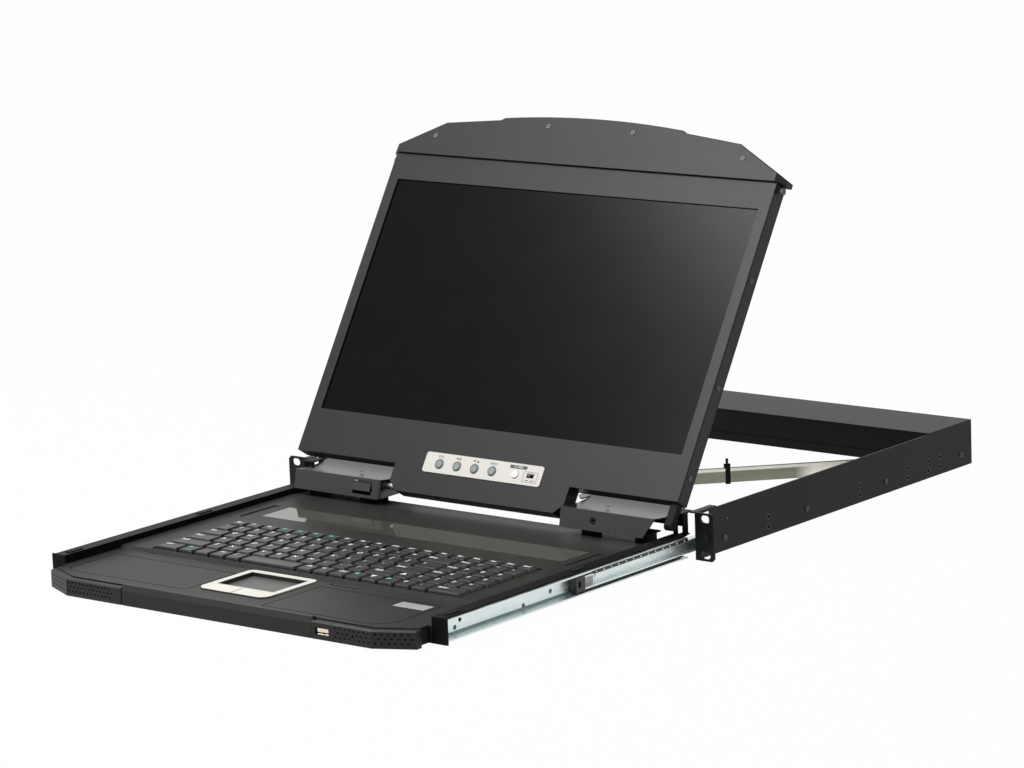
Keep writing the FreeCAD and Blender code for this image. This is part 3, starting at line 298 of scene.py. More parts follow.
def board(name, mask, track):
    """Solder mask over copper tracks."""
    f = Finish(name, 0.4)
    tracks = f.noise(TRACK_MM, 1.0, (1, 3, 1))
    f.colour(f.blend(f.spread(tracks, *TRACK_RANGE), mask, track))
    f.bump(f.spread(tracks, *TRACK_RANGE), 0.04, f.soft_edges(0.2))
    return f.material


def ink(name, colour):
    """Printed legends, slightly worn."""
    f = Finish(name, 0.55)
    wear = f.noise(WEAR_MM, 2.0)
    f.colour(f.blend(f.spread(wear, *WEAR_RANGE), lighter(colour, WORN), colour))
    return f.material


# rolling marks that run along the slides
SLIDE_STREAK = (1, 0.12, 1)

# the edge lightening of the coated finishes below is partly wear and partly a painted highlight
CHASSIS_BLACK = coated("chassis black powder coat", (0.0065, 0.0065, 0.0065), 0.42, 0.8, 0.02,
                       edge_wear_and_highlight=2.8, specular=0.14)
TRAY_BLACK = coated("tray black", (0.005, 0.005, 0.005), 0.45, 0.6, specular=0.07)
DECK_GREY = coated("deck moulded grey", (0.022, 0.0215, 0.0195), 0.40, 0.5, 0.014,
                   specular=0.10)
FRONT_GREY = coated("front moulded grey", (0.0135, 0.013, 0.0125), 0.42, 0.5, 0.014,
                    edge_mm=0.5, edge_wear_and_highlight=3.6, specular=0.25)
COVER_GREY = coated("hinge cover paint", (0.009, 0.009, 0.0075), 0.22, 0.6, 0.006,
                    edge_wear_and_highlight=3.0, specular=0.6)
BEZEL_GREY = coated("bezel powder coat", (0.0125, 0.0118, 0.0113), 0.42, 0.7, 0.012,
                    edge_wear_and_highlight=2.2, specular=0.22)
BACK_GREY = coated("display back paint", (0.015, 0.015, 0.015), 0.5, 0.7, 0.018, specular=0.15)
SCREEN = glass("screen glass", (0.0020, 0.0021, 0.0013), 0.22, 0.065)
STRIP = glass("glossy strip", (0.07, 0.07, 0.06), 0.05, 1.0)
WHITE = coated("inner white", (0.75, 0.75, 0.73), 0.5, 0.8)
BOARD = board("circuit board", (0.01, 0.07, 0.03), (0.03, 0.16, 0.06))
SUPPLY = zinc("supply case", (0.6, 0.61, 0.62), 0.4)
SLIDE_ZINC = zinc("slide zinc", (0.80, 0.86, 0.85), 0.34, SLIDE_STREAK, (0.74, 0.82, 0.82))
RETAINER_ZINC = zinc("retainer zinc", (0.10, 0.11, 0.10), 0.4, SLIDE_STREAK, (0.05, 0.055, 0.05))
# a darker zinc for the strip of painted shade along the drawer member
SLIDE_SHADE_ZINC = zinc("slide race", (0.20, 0.28, 0.28), 0.4, SLIDE_STREAK, (0.16, 0.23, 0.23))
# the cable arm's zinc, with painted reflections: a bright end, a bright band and a dark top edge
ARM_ZINC_PAINTED_REFLECTIONS = arm_steel_painted_reflections("arm zinc", (0.225, 0.235, 0.18), (0.86, 0.84, 0.76), (0.03, 0.03, 0.026))
SCREW_STEEL = coated("screw steel", (0.11, 0.11, 0.105), 0.45, 0.5, 0.006, edge_wear_and_highlight=2.2,
                     specular=0.35)
SOCKET_METAL = zinc("socket metal", (0.80, 0.72, 0.58), 0.30, (1, 1, 1), (0.74, 0.68, 0.56))
# black plastic; it also makes the painted shadow at the foot of the front row of caps
STOP_BLACK_AND_PAINTED_SHADOW = coated("stop plastic", (0.012, 0.012, 0.010), 0.38, 0.4)
PAD_SILVER = coated("pad surround", (0.66, 0.645, 0.58), 0.42, 0.4, 0.006, edge_wear_and_highlight=1.1,
                    cloud=0.04)
# the pad's surface; it also makes the painted shade along the split of the pad's buttons
PAD_GREY_AND_SPLIT_SHADE = coated("pad surface", (0.070, 0.070, 0.067), 0.42, 0.4, 0.008)
RUBBER = coated("rubber", (0.009, 0.009, 0.009), 0.6, 0.9, 0.02, specular=0.12)
KEY_GREY = coated("key plastic", (0.016, 0.0158, 0.0145), 0.36, 0.35, 0.006, edge_wear_and_highlight=1.3,
                  specular=0.42)
PLATE = coated("control plate", (0.62, 0.605, 0.555), 0.45, 0.5, 0.005, edge_wear_and_highlight=1.1,
               cloud=0.03)
BUTTON_GREY = coated("menu button", (0.24, 0.28, 0.27), 0.35, 0.4, 0.006, edge_wear_and_highlight=2.0)
BUTTON_WHITE = coated("power button", (0.95, 0.95, 0.92), 0.35, 0.4, 0.004, edge_wear_and_highlight=1.0,
                      cloud=0.02)
INK_WHITE = ink("legend white", (0.85, 0.85, 0.82))
INK_TEAL = ink("legend teal", (0.16, 0.58, 0.50))
INK_DARK = ink("legend dark", (0.05, 0.05, 0.05))
BUTTON_RING = coated("button ring", (0.07, 0.08, 0.078), 0.4, 0.4, 0.006)
LABEL = coated("bare foil plate", (0.42, 0.42, 0.42), 0.3, 0.6, 0.004, edge_wear_and_highlight=1.1, cloud=0.2)

NODE_FINISH = {
    CHASSIS_BLACK: ("side_panel_left", "side_panel_right", "rear_box_tray", "rear_box_cover",
                    "ear_screw_collars", "arm_pivot"),
    TRAY_BLACK: ("base_pan", "side_rims", "hinge_brackets", "key_plate"),
    DECK_GREY: ("deck",),
    FRONT_GREY: ("front_bar", "grip_left", "grip_right"),
    COVER_GREY: ("hinge_cover_left", "hinge_cover_right", "port_flap"),
    BEZEL_GREY: ("display_bezel", "top_cap"),
    BACK_GREY: ("display_back",),
    SCREEN: ("lcd_panel",),
    STRIP: ("panel_strip",),
    WHITE: ("backlight",),
    BOARD: ("controller_board", "display_board", "key_circuit"),
    SUPPLY: ("power_supply", "hinge_shafts", "usb_socket"),
    SLIDE_ZINC: ("drawer_slide_members", "middle_slide_members", "chassis_slide_members"),
    RETAINER_ZINC: ("outer_ball_retainers", "inner_ball_retainers"),
    ARM_ZINC_PAINTED_REFLECTIONS: ("rear_arm", "front_arm"),
    SCREW_STEEL: ("side_screws", "display_screws", "latch_studs"),
    STOP_BLACK_AND_PAINTED_SHADOW: ("middle_slide_stops", "service_jack", "mode_switch"),
    PAD_SILVER: ("pad_frame", "pad_button_left", "pad_button_right"),
    PAD_GREY_AND_SPLIT_SHADE: ("pad_module",),
    RUBBER: ("rim_pads", "cable_boot", "cable_tie"),
    KEY_GREY: ("space_bar", "bottom_keys", "letter_keys", "number_keys", "function_keys"),
    PLATE: ("control_plate",),
    BUTTON_GREY: ("menu_button_1", "menu_button_2", "menu_button_3", "menu_button_4"),
    BUTTON_WHITE: ("power_button",),
}


def paint(obj, material):
    """Give every slot of an object one material."""
    if not obj.data.materials:
        obj.data.materials.append(material)
    for index in range(len(obj.data.materials)):
        obj.data.materials[index] = material


def paint_nodes():
    """Give every CAD node its finish."""
    for material, names in NODE_FINISH.items():
        for name in names:
            paint(NODES[name], material)


# ---------------------------------------------------------------- mesh helpers

# distance at which the corners of a CAD mesh are one, in metres, and the angle of a sharp edge
SAME_PLACE = 1e-6
SHARP_EDGE = math.radians(16)

# least share of its width that a path keeps at a mitred corner
MITRE_LIMIT = 0.4

# shares of a rivet's radius and height, from its rim to its crown
RIVET_PROFILE = ((1, 0), (0.93, 0.55), (0.66, 0.9), (0.25, 1))

# a cross recess: half the width of an arm by the recess's size, its corners, and how far the
# cutter stands above the head
CROSS_ARM = 0.14
CROSS_CORNER = 0.1
CROSS_ABOVE = 0.3


def piece(name, mesh_data, body, material, smooth=False, keep_normals=False):
    """Put a finished bmesh into the scene and let it ride on a body."""
    mesh = bpy.data.meshes.new(name)
    if not keep_normals:
        bmesh.ops.recalc_face_normals(mesh_data, faces=mesh_data.faces)
    mesh_data.to_mesh(mesh)
    mesh_data.free()
    obj = bpy.data.objects.new(name, mesh)
    bpy.context.scene.collection.objects.link(obj)
    paint(obj, material)
    if smooth:
        for polygon in mesh.polygons:
            polygon.use_smooth = True
    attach(obj, body)
    return obj


def detail(name, body, material, slot, build, smooth=False):
    """A small piece that a function builds into a fresh mesh."""
    bm = bmesh.new()
    build(bm)
    obj = piece(name, bm, body, material, smooth=smooth)
    return obj


def ring_points(width, depth, radius, z, steps=3):
    """The corners of a rounded rectangle about the origin, in order."""
    radius = min(radius, width / 2, depth / 2)
    points = []
    for corner, (sx, sy) in enumerate(((1, 1), (-1, 1), (-1, -1), (1, -1))):
        centre = Vector((sx * (width / 2 - radius), sy * (depth / 2 - radius), z))
        for step in range(steps + 1):
            angle = math.pi / 2 * (corner + step / steps)
            points.append(centre + Vector((math.cos(angle), math.sin(angle), 0)) * radius)
    return points


def skin(bm, rings, place):
    """Join rings of equal length into a closed solid."""
    loops = [[bm.verts.new(place @ point) for point in ring] for ring in rings]
    count = len(loops[0])
    for low, high in zip(loops, loops[1:]):
        for i in range(count):
            j = (i + 1) % count
            bm.faces.new((low[i], low[j], high[j], high[i]))
    bm.faces.new(list(reversed(loops[0])))
    bm.faces.new(loops[-1])


def upright(place, level):
    """A face that looks forward: (a, b, c) is a to the right, b up and c out of it."""
    return place @ Matrix(((1, 0, 0, 0), (0, 0, -1, -level), (0, 1, 0, 0), (0, 0, 0, 1)))


def sideways(level, side=1, place=ON_DRAWER):
    """A face that looks to one side: (a, b, c) is a back, b up and c out of it."""
    return place @ Matrix(((0, 0, side, side * level), (1, 0, 0, 0), (0, 1, 0, 0), (0, 0, 0, 1)))


def circle(x, y, radius, sides=28):
    """The outline of a circle."""
    angles = [2 * math.pi * i / sides for i in range(sides)]
    return [Vector((x + radius * math.cos(a), y + radius * math.sin(a))) for a in angles]


def rounded(x0, x1, y0, y1, radius):
    """The outline of a rounded rectangle."""
    centre = Vector(((x0 + x1) / 2, (y0 + y1) / 2))
    return [centre + point.to_2d() for point in ring_points(x1 - x0, y1 - y0, radius, 0)]


def shifted(points, distance, closed=True):
    """A path moved to its left, with mitred corners."""
    points = [Vector(p) for p in points]
    moved = []
    for i, here in enumerate(points):
        before = points[i - 1] if i or closed else 2 * here - points[1]
        if i < len(points) - 1 or closed:
            after = points[(i + 1) % len(points)]
        else:
            after = 2 * here - points[i - 1]
        arriving, leaving = (here - before).normalized(), (after - here).normalized()
        left = Vector((-arriving.y - leaving.y, arriving.x + leaving.x)).normalized()
        mitre = max(MITRE_LIMIT, left.dot(Vector((-arriving.y, arriving.x))))
        moved.append(here + left * distance / mitre)
    return moved


def slab(bm, place, outline, low, high, rim=0.0):
    """A plate of a convex outline that runs counter-clockwise, with its upper rim bevelled."""
    rings = [[Vector((*p, z)) for p in outline] for z in (low, high - rim)]
    if rim:
        rings.append([Vector((*p, high)) for p in shifted(outline, rim)])
    skin(bm, rings, place)


def ribbon(bm, place, points, width, low, high, closed=False):
    """A strip of rectangular section along a path."""
    sides = shifted(points, width / 2, closed), shifted(points, -width / 2, closed)
    loops = [[bm.verts.new(place @ Vector((*p, z)))
              for p, z in ((left, low), (right, low), (right, high), (left, high))]
             for left, right in zip(*sides)]
    steps = list(zip(loops, loops[1:]))
    if closed:
        steps.append((loops[-1], loops[0]))
    else:
        bm.faces.new(loops[0])
        bm.faces.new(loops[-1])
    for here, there in steps:
        for i in range(4):
            j = (i + 1) % 4
            bm.faces.new((here[i], here[j], there[j], there[i]))


def turned(bm, place, x, y, profile, sides=16):
    """A turned form at (x, y) from a profile of (radius, height)."""
    rings = []
    for radius, height in profile:
        angles = [2 * math.pi * i / sides for i in range(sides)]
        rings.append([Vector((x + radius * math.cos(a), y + radius * math.sin(a), height))
                      for a in angles])
    skin(bm, rings, place)


def rivet(bm, place, x, y, radius, height=0.5):
    """A low domed head."""
    turned(bm, place, x, y, [(radius * r, height * h) for r, h in RIVET_PROFILE])


def cross(cutters, place, x, y, size, depth):
    """A cross recess: one slot in each of two cutters."""
    arm, half = size / 2, size * CROSS_ARM
    for bm, width, length in ((cutters[0], arm, half), (cutters[1], half, arm)):
        outline = rounded(x - width, x + width, y - length, y + length, CROSS_CORNER)
        slab(bm, place, outline, -depth, CROSS_ABOVE)


def text_mesh(name, words, size_mm, place, body, material, thickness_mm, weight_mm=0.0):
    """Legends: each word is (text, x, y) in the plane of place."""
    bm = bmesh.new()
    for text, x, y in words:
        curve = bpy.data.curves.new("legend", "FONT")
        curve.body = text
        curve.size = size_mm
        curve.extrude = thickness_mm / 2
        curve.offset = weight_mm
        curve.align_x = "CENTER"
        curve.align_y = "CENTER"
        curve.resolution_u = 2
        holder = bpy.data.objects.new("legend", curve)
        mesh = bpy.data.meshes.new_from_object(holder)
        mesh.transform(place @ Matrix.Translation((x, y, thickness_mm / 2)))
        bm.from_mesh(mesh)
        bpy.data.objects.remove(holder)
        bpy.data.curves.remove(curve)
        bpy.data.meshes.remove(mesh)
    piece(name, bm, body, material)


def carve(obj, cutter_mesh):
    """Cut the solids of a bmesh out of an object."""
    mesh = bpy.data.meshes.new("cutter")
    bmesh.ops.recalc_face_normals(cutter_mesh, faces=cutter_mesh.faces)
    cutter_mesh.to_mesh(mesh)
    cutter_mesh.free()
    cutter = bpy.data.objects.new("cutter", mesh)
    bpy.context.scene.collection.objects.link(cutter)
    modifier = obj.modifiers.new("carve", "BOOLEAN")
    modifier.operation = "DIFFERENCE"
    modifier.solver = "EXACT"
    modifier.object = cutter
    bpy.context.view_layer.update()
    depsgraph = bpy.context.evaluated_depsgraph_get()
    carved = bpy.data.meshes.new_from_object(obj.evaluated_get(depsgraph))
    obj.modifiers.clear()
    obj.data = carved
    bpy.data.objects.remove(cutter)


def carved_node(node, cutters, material):
    """A copy of a CAD node with its fine details cut in, which stands for the node."""
    source = NODES[node]
    bm = bmesh.new()
    bm.from_mesh(source.data)
    bmesh.ops.remove_doubles(bm, verts=bm.verts, dist=SAME_PLACE)
    obj = piece(node + "_carved", bm, source["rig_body"], material, keep_normals=True)
    for cutter in cutters:
        carve(obj, cutter)
    paint(obj, material)
    normals = obj.data.attributes.get("custom_normal")
    if normals:
        obj.data.attributes.remove(normals)
    for polygon in obj.data.polygons:
        polygon.use_smooth = True
    obj.data.set_sharp_from_angle(angle=SHARP_EDGE)
    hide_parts(node)


# ---------------------------------------------------------------- keyboard

KEY_PITCH = 18.0
KEY_GAP = 1.6
KEY_ROW_DEPTH = 19.0
FUNCTION_ROW_DEPTH = 15.0
KEYBOARD_FRONT = -259.0
KEY_BOTTOM = 14.2
KEY_TOP = 20.2

# the legends of each row from the left; a key's width in pitches follows an @ where it isn't 1,
# _ is a bare cap, and the space bar has a negative width
KEY_ROWS = (
    "Ctrl@1.5 Fn _ Alt ¦ _@-3.5 Alt = Ctrl ◄ ▼ ► 0 . Enter@2",
    "Shift@2.25 Z X C V B N M , . / Shift@1.75 ▲ 1 2 3 +",
    "Caps@1.75 A S D F G H J K L ; ' Enter@2.25 PgDn 4 5 6",
    "Tab@1.5 Q W E R T Y U I O P [ ] \\@1.5 PgUp 7 8 9",
    "` 1 2 3 4 5 6 7 8 9 0 - = Bksp@2 Num / * -",
    "Esc F1 F2 F3 F4 F5 F6 F7 F8 F9 F10 F11 F12 Prt Scr Brk Ins Del End",
)
TEAL_LEGENDS = ("Fn", "F3", "F4", "F5", "F6", "◄", "►")
KEY_GROUPS = {"bottom_keys": (0,), "letter_keys": (1, 2, 3), "number_keys": (4,),
              "function_keys": (5,)}

# inset, corner radius and height of each ring of a cap, from its skirt to the floor of its dish
DISH_DEPTH = 0.12
CAP_RINGS = ((0.0, 1.0, KEY_BOTTOM + 0.1), (0.5, 1.2, KEY_BOTTOM + 2.6),
             (1.25, 1.5, KEY_TOP - 0.9), (1.55, 1.7, KEY_TOP - 0.3), (2.0, 1.7, KEY_TOP - 0.02),
             (2.7, 1.6, KEY_TOP - DISH_DEPTH), (4.2, 1.4, KEY_TOP - 0.35))
STEM_WIDTH = 3.9
STEM_CORNER = 0.2
STEM_HEIGHTS = (10.3, KEY_BOTTOM + 0.6)

# kind, size and ink of the legends, and how they lie on a cap
LEGEND_KINDS = (("letters", 6.8, INK_WHITE), ("words", 4.7, INK_WHITE), ("teal", 5.6, INK_TEAL))
LEGEND_LEFT = 4.6
LETTER_HALF_WIDTH = 1.1
LEGEND_FROM_BACK = 6.0
LEGEND_THICKNESS = 0.12
LEGEND_WEIGHT = 0.17

# the painted shadow under the front row's caps, a dark strip: how far behind their front edge, in
# from their sides, between which heights with which corners, and how deep
FOOT_BEHIND = 0.86
FOOT_INSET = 2.6
FOOT_HEIGHTS = (17.9, 18.8, 0.2)
FOOT_LEVELS = (-0.4, 0.12)


def key_row(index):
    """The (width in pitches, legend) of each key of a row."""
    keys = []
    for word in KEY_ROWS[index].split():
        legend, _, units = word.partition("@")
        keys.append((float(units or 1), legend.replace("_", "")))
    return keys


def row_places(index):
    """The (x, y, width, depth, legend) of each key of a row; the space bar has a negative width."""
    x = -sum(abs(units) for units, _ in key_row(0)) * KEY_PITCH / 2
    depth = FUNCTION_ROW_DEPTH if index == len(KEY_ROWS) - 1 else KEY_ROW_DEPTH
    y = KEYBOARD_FRONT + index * KEY_ROW_DEPTH + depth / 2
    places = []
    for units, legend in key_row(index):
        width = abs(units) * KEY_PITCH
        places.append((x + width / 2, y, math.copysign(width, units), depth, legend))
        x += width
    return places


def key_cap(bm, x, y, width, depth):
    """One cap on its stem: flared skirt, soft shoulders and a shallow dish."""
    w, d = width - KEY_GAP, depth - KEY_GAP
    place = ON_DRAWER @ Matrix.Translation((x, y, 0))
    skin(bm, [ring_points(w - 2 * inset, d - 2 * inset, radius, z)
              for inset, radius, z in CAP_RINGS], place)
    skin(bm, [ring_points(STEM_WIDTH, STEM_WIDTH, STEM_CORNER, z) for z in STEM_HEIGHTS], place)


def legend_kind(legend):
    """Which ink and size a legend has."""
    if legend in TEAL_LEGENDS:
        return "teal"
    return "words" if len(legend) > 1 else "letters"


def key_group(node, rows):
    """The caps of one group and their legends."""
    bm = bmesh.new()
    legends = {kind: [] for kind, _, _ in LEGEND_KINDS}
    for index in rows:
        for x, y, width, depth, legend in row_places(index):
            if width < 0:
                continue
            key_cap(bm, x, y, width, depth)
            if legend:
                left = x - width / 2 + LEGEND_LEFT + LETTER_HALF_WIDTH * len(legend)
                place = (min(left, x), y + depth / 2 - LEGEND_FROM_BACK)
                legends[legend_kind(legend)].append((legend, *place))
    caps = piece(node + "_caps", bm, node, KEY_GREY)
    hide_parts(node)
    top = ON_DRAWER @ Matrix.Translation((0, 0, KEY_TOP - DISH_DEPTH))
    for kind, size, finish in LEGEND_KINDS:
        if legends[kind]:
            text_mesh(node + "_" + kind, legends[kind], size, top, node, finish,
                      LEGEND_THICKNESS, LEGEND_WEIGHT)


def painted_foot_shadow(name, keys):
    """A dark strip of painted shadow at the foot of the front row of caps."""
    front = upright(ON_DRAWER, -(KEYBOARD_FRONT + KEY_GAP / 2 + FOOT_BEHIND))

    def shadow_strips(bm):
        for x, width in keys:
            half = width / 2 - FOOT_INSET
            slab(bm, front, rounded(x - half, x + half, *FOOT_HEIGHTS), *FOOT_LEVELS)

    detail(name + "_painted_foot_shadow", name, STOP_BLACK_AND_PAINTED_SHADOW, "stop_black", shadow_strips)


def space_bar():
    """The long cap of the bottom row."""
    x, y, width, depth, _ = [p for p in row_places(0) if p[2] < 0][0]
    bm = bmesh.new()
    key_cap(bm, x, y, -width, depth)
    cap = piece("space_bar_cap", bm, "space_bar", KEY_GREY)
    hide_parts("space_bar")
    # dark strips of painted shadow at the foot of the front row
    painted_foot_shadow("space_bar", [(x, -width)])
    painted_foot_shadow("bottom_keys", [(p[0], p[2]) for p in row_places(0) if p[2] > 0])


def build_keyboard():
    """All caps and their legends."""
    for node, rows in KEY_GROUPS.items():
        key_group(node, rows)
    space_bar()


# ---------------------------------------------------------------- drawer front

# from here on a rounded outline is (x0, x1, y0, y1, corner radius), and LEVELS are the low and
# the high face of a slab, with the width of its bevelled rim where it has one

# how far the front stands ahead of the ears, and where its cropped corners start and run to
FRONT_FACE = 367.8
CORNER_X = 169.5
CORNER_RUN = (33.9, 16.2)

# the grips: rows of dimples by height, start, end and pitch of each field, a dimple's profile,
# and the small hole that they leave room for
GRIP_ROWS = (11.1, 7.5, 3.8)
LEFT_FACE_FIELD = (-167.0, -117.0, 4.3)
LEFT_CORNER_FIELD = (3.0, 36.0, 4.3)
RIGHT_FACE_FIELD = (131.5, 168.0, 5.0)
RIGHT_CORNER_FIELD = (3.4, 36.0, 5.5)
DIMPLE = ((0.5, -1.5), (1.45, 0.05), (1.45, 0.4))
RESET_HOLE = Vector((150.0, 6.6))
RESET_ROOM = 3.2

# the shallow pocket in the left grip's face
POCKET = (-(CORNER_X - 0.6), -112.0, 0.9, 13.1, 0.8)
POCKET_DEPTH = 0.45

# the socket: its tongue, its lower lip, the depths of its mouth and the throat behind that
SOCKET_X = (112.2, 124.1)
SOCKET_TONGUE = (*SOCKET_X, 5.7, 9.2, 0.5)
SOCKET_LIP = (*SOCKET_X, 3.6, 4.5, 0.3)
SOCKET_MOUTH = (-5.6, -0.5)
SOCKET_THROAT = (110.2, 124.4, 3.3, 9.5, 0.3)
THROAT_LEVELS = (-6.6, -5.6, 0.1)


def corner_face(side):
    """The cropped corner of a grip: (a, b, c) is a along it, b up and c out of it."""
    along = Vector((side * CORNER_RUN[0], CORNER_RUN[1], 0)).normalized()
    out = Vector((side * along.y, -side * along.x, 0))
    start = Vector((side * CORNER_X, -FRONT_FACE, 0))
    place = Matrix.Identity(4)
    for column, axis in enumerate((along, Vector((0, 0, 1)), out, start)):
        place.col[column].xyz = axis
    return ON_DRAWER @ place


def dimples(place, start, end, pitch):
    """Staggered rows of four-sided dimples, as a cutter."""
    bm = bmesh.new()
    for row, height in enumerate(GRIP_ROWS):
        x = start + (pitch / 2 if row % 2 else 0)
        while x < end:
            if (Vector((x, height)) - RESET_HOLE).length > RESET_ROOM:
                turned(bm, place, x, height, DIMPLE, 4)
            x += pitch
    return bm


def build_grips():
    """The dimples of both grips, and the pocket that the left one's lie in."""
    front = upright(ON_DRAWER, FRONT_FACE)
    pocket = bmesh.new()
    slab(pocket, front, rounded(*POCKET), -POCKET_DEPTH, 1.0)
    lower = upright(ON_DRAWER, FRONT_FACE - POCKET_DEPTH)
    left = (pocket, dimples(lower, *LEFT_FACE_FIELD), dimples(corner_face(-1), *LEFT_CORNER_FIELD))
    right = (dimples(front, *RIGHT_FACE_FIELD), dimples(corner_face(1), *RIGHT_CORNER_FIELD))
    carved_node("grip_left", left, FRONT_GREY)
    carved_node("grip_right", right, FRONT_GREY)


def build_socket():
    """The tongue and the lower lip of the socket, and the dark hole behind them."""
    front = upright(ON_DRAWER, FRONT_FACE)

    def shell(bm):
        slab(bm, front, rounded(*SOCKET_TONGUE), *SOCKET_MOUTH, 0.25)
        slab(bm, front, rounded(*SOCKET_LIP), *SOCKET_MOUTH, 0.15)

    def throat(bm):
        slab(bm, front, rounded(*SOCKET_THROAT), *THROAT_LEVELS)

    socket = detail("usb_socket_shell", "drawer", SOCKET_METAL, "supply_steel", shell)
    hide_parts("usb_socket")
    detail("usb_socket_throat", "drawer", STOP_BLACK_AND_PAINTED_SHADOW, "stop_black", throat)


# ---------------------------------------------------------------- palm rest

# grooves round the two panels of the palm rest, and the cut notches behind them
LEFT_PALM = ((-188, -284), (-191, -288), (-191, -340), (-184, -347), (-54, -347), (-51, -344),
             (-51, -284))
RIGHT_PALM = ((41, -281), (41, -354), (160, -354), (172.5, -340), (172.5, -281))
GROOVE_WIDTH = 1.0
GROOVE_LEVELS = (PALM_TOP - 0.6, PALM_TOP + 1)
NOTCHES = (((-168, -271), (-168, -266.8), (-158, -266.8)), ((44, -268), (44, -272.5), (75, -272.5)))
NOTCH_WIDTH = 1.3
NOTCH_LEVELS = (PALM_TOP - 1.0, DECK_TOP + 1)

# the touch pad: its opening, the levels of its lining, and the split between its buttons, shown by
# dark strips of painted shade
PAD_OPENING = (-40.0, 22.4, -319.3, -275.1, 0.8)
LINING_WIDTH = 0.3
LINING_LEVELS = (12.9, 16.0)
SPLIT_Y = (-337.8, -322.0)
SPLIT_HALVES = (("left", (-9.35, -9.0)), ("right", (-8.6, -8.25)))
SPLIT_LEVELS = (16.38, 16.43)

FOIL_PLATE = (135, 168, -300, -286, 1.2)
FOIL_LEVELS = (PALM_TOP, PALM_TOP + 0.2, 0.1)


def build_deck():
    """Grooves and notches of the deck, the pad's lining, painted shade along the split of its
    buttons, and the bare foil plate.
    """
    grooves = bmesh.new()
    for outline in (LEFT_PALM, RIGHT_PALM):
        ribbon(grooves, ON_DRAWER, outline, GROOVE_WIDTH, *GROOVE_LEVELS, closed=True)
    notches = bmesh.new()
    for path in NOTCHES:
        ribbon(notches, ON_DRAWER, path, NOTCH_WIDTH, *NOTCH_LEVELS)
    carved_node("deck", (grooves, notches), DECK_GREY)

    def lining(bm):
        ribbon(bm, ON_DRAWER, rounded(*PAD_OPENING), LINING_WIDTH, *LINING_LEVELS, closed=True)

    def foil(bm):
        slab(bm, ON_DRAWER, rounded(*FOIL_PLATE), *FOIL_LEVELS)

    detail("pad_lining", "drawer", STOP_BLACK_AND_PAINTED_SHADOW, "pad_grey", lining)
    # painted shade: a dark strip on each button beside the split
    for label, across in SPLIT_HALVES:
        detail("pad_split_shade_" + label, "pad_button_" + label, PAD_GREY_AND_SPLIT_SHADE, "pad_grey",
               lambda bm: slab(bm, ON_DRAWER, rounded(*across, *SPLIT_Y, 0.1), *SPLIT_LEVELS))
    detail("foil_plate", "drawer", LABEL, "plate_silver", foil)


# ---------------------------------------------------------------- screws and bezel

# (x, v) of the screws in the cap's face, v of those in the display's sides, and how far their
# heads stand out from the display's zero and side
CAP_SCREWS = ((48.0, 292.0), (174.4, 275.0))
CAP_HEAD = 3.4
DISPLAY_HALF_WIDTH = 215.7
DISPLAY_SIDE_SCREWS = (-18.0, 65.5, 166.0)
DISPLAY_HEAD = 0.6

# the screws in the chassis sides
CHASSIS_HALF_WIDTH = 223.3
CHASSIS_SCREWS = (41.2, 165.8, 291.6, 418.1)
CHASSIS_SCREW_HEIGHT = 11.5
CHASSIS_HEAD = 0.9

# size and depth of the cross recesses
SMALL_CROSS = (2.9, 0.4)
LARGE_CROSS = (3.0, 0.6)

# the seam in the side walls of the bezel: behind the face, and up it
SEAM_BEHIND = (1.2, 1.9)
SEAM_V = (-41, 243)
SEAM_DEPTH = 0.5


def build_screws():
    """Cross recesses in every visible screw head."""
    on_display, on_chassis = (bmesh.new(), bmesh.new()), (bmesh.new(), bmesh.new())
    face = upright(ON_DISPLAY, CAP_HEAD)
    for side in (-1, 1):
        for x, v in CAP_SCREWS:
            cross(on_display, face, side * x, v, *SMALL_CROSS)
        edge = sideways(DISPLAY_HALF_WIDTH + DISPLAY_HEAD, side, ON_DISPLAY)
        for v in DISPLAY_SIDE_SCREWS:
            cross(on_display, edge, HINGE_DEPTH, v, *SMALL_CROSS)
        wall = sideways(CHASSIS_HALF_WIDTH + CHASSIS_HEAD, side)
        for y in CHASSIS_SCREWS:
            cross(on_chassis, wall, y, CHASSIS_SCREW_HEIGHT, *LARGE_CROSS)
    carved_node("display_screws", on_display, SCREW_STEEL)
    carved_node("side_screws", on_chassis, SCREW_STEEL)


def build_bezel():
    """The seam along each side wall of the display."""
    seams = bmesh.new()
    (near, far), (low, high) = SEAM_BEHIND, SEAM_V
    for side in (-1, 1):
        edge = sideways(DISPLAY_HALF_WIDTH, side, ON_DISPLAY)
        slab(seams, edge, ((near, low), (far, low), (far, high), (near, high)), -SEAM_DEPTH,
             SEAM_DEPTH)
    carved_node("display_bezel", (seams,), BEZEL_GREY)


# ---------------------------------------------------------------- control plate

# how far the plate's face stands out of the display's, and how thick its print is
PLATE_FACE = 0.8
PRINT = 0.06

# the four menu buttons, their legends and the rings on their faces
BUTTON_XS = (-48.7, -28.7, -8.7, 11.3)
BUTTON_V = -37.8
BUTTON_WORDS = ("EXIT", "◄ ►", "▼ ▲", "MENU")
BUTTON_WORD_V = -30.9
BUTTON_WORD_SIZE = 3.1
BUTTON_WORD_THICKNESS = 0.08
BUTTON_FACE = 1.8
RING_RADIUS = 3.55
RING_WIDTH = 0.8
RING_LEVELS = (-0.1, 0.12)

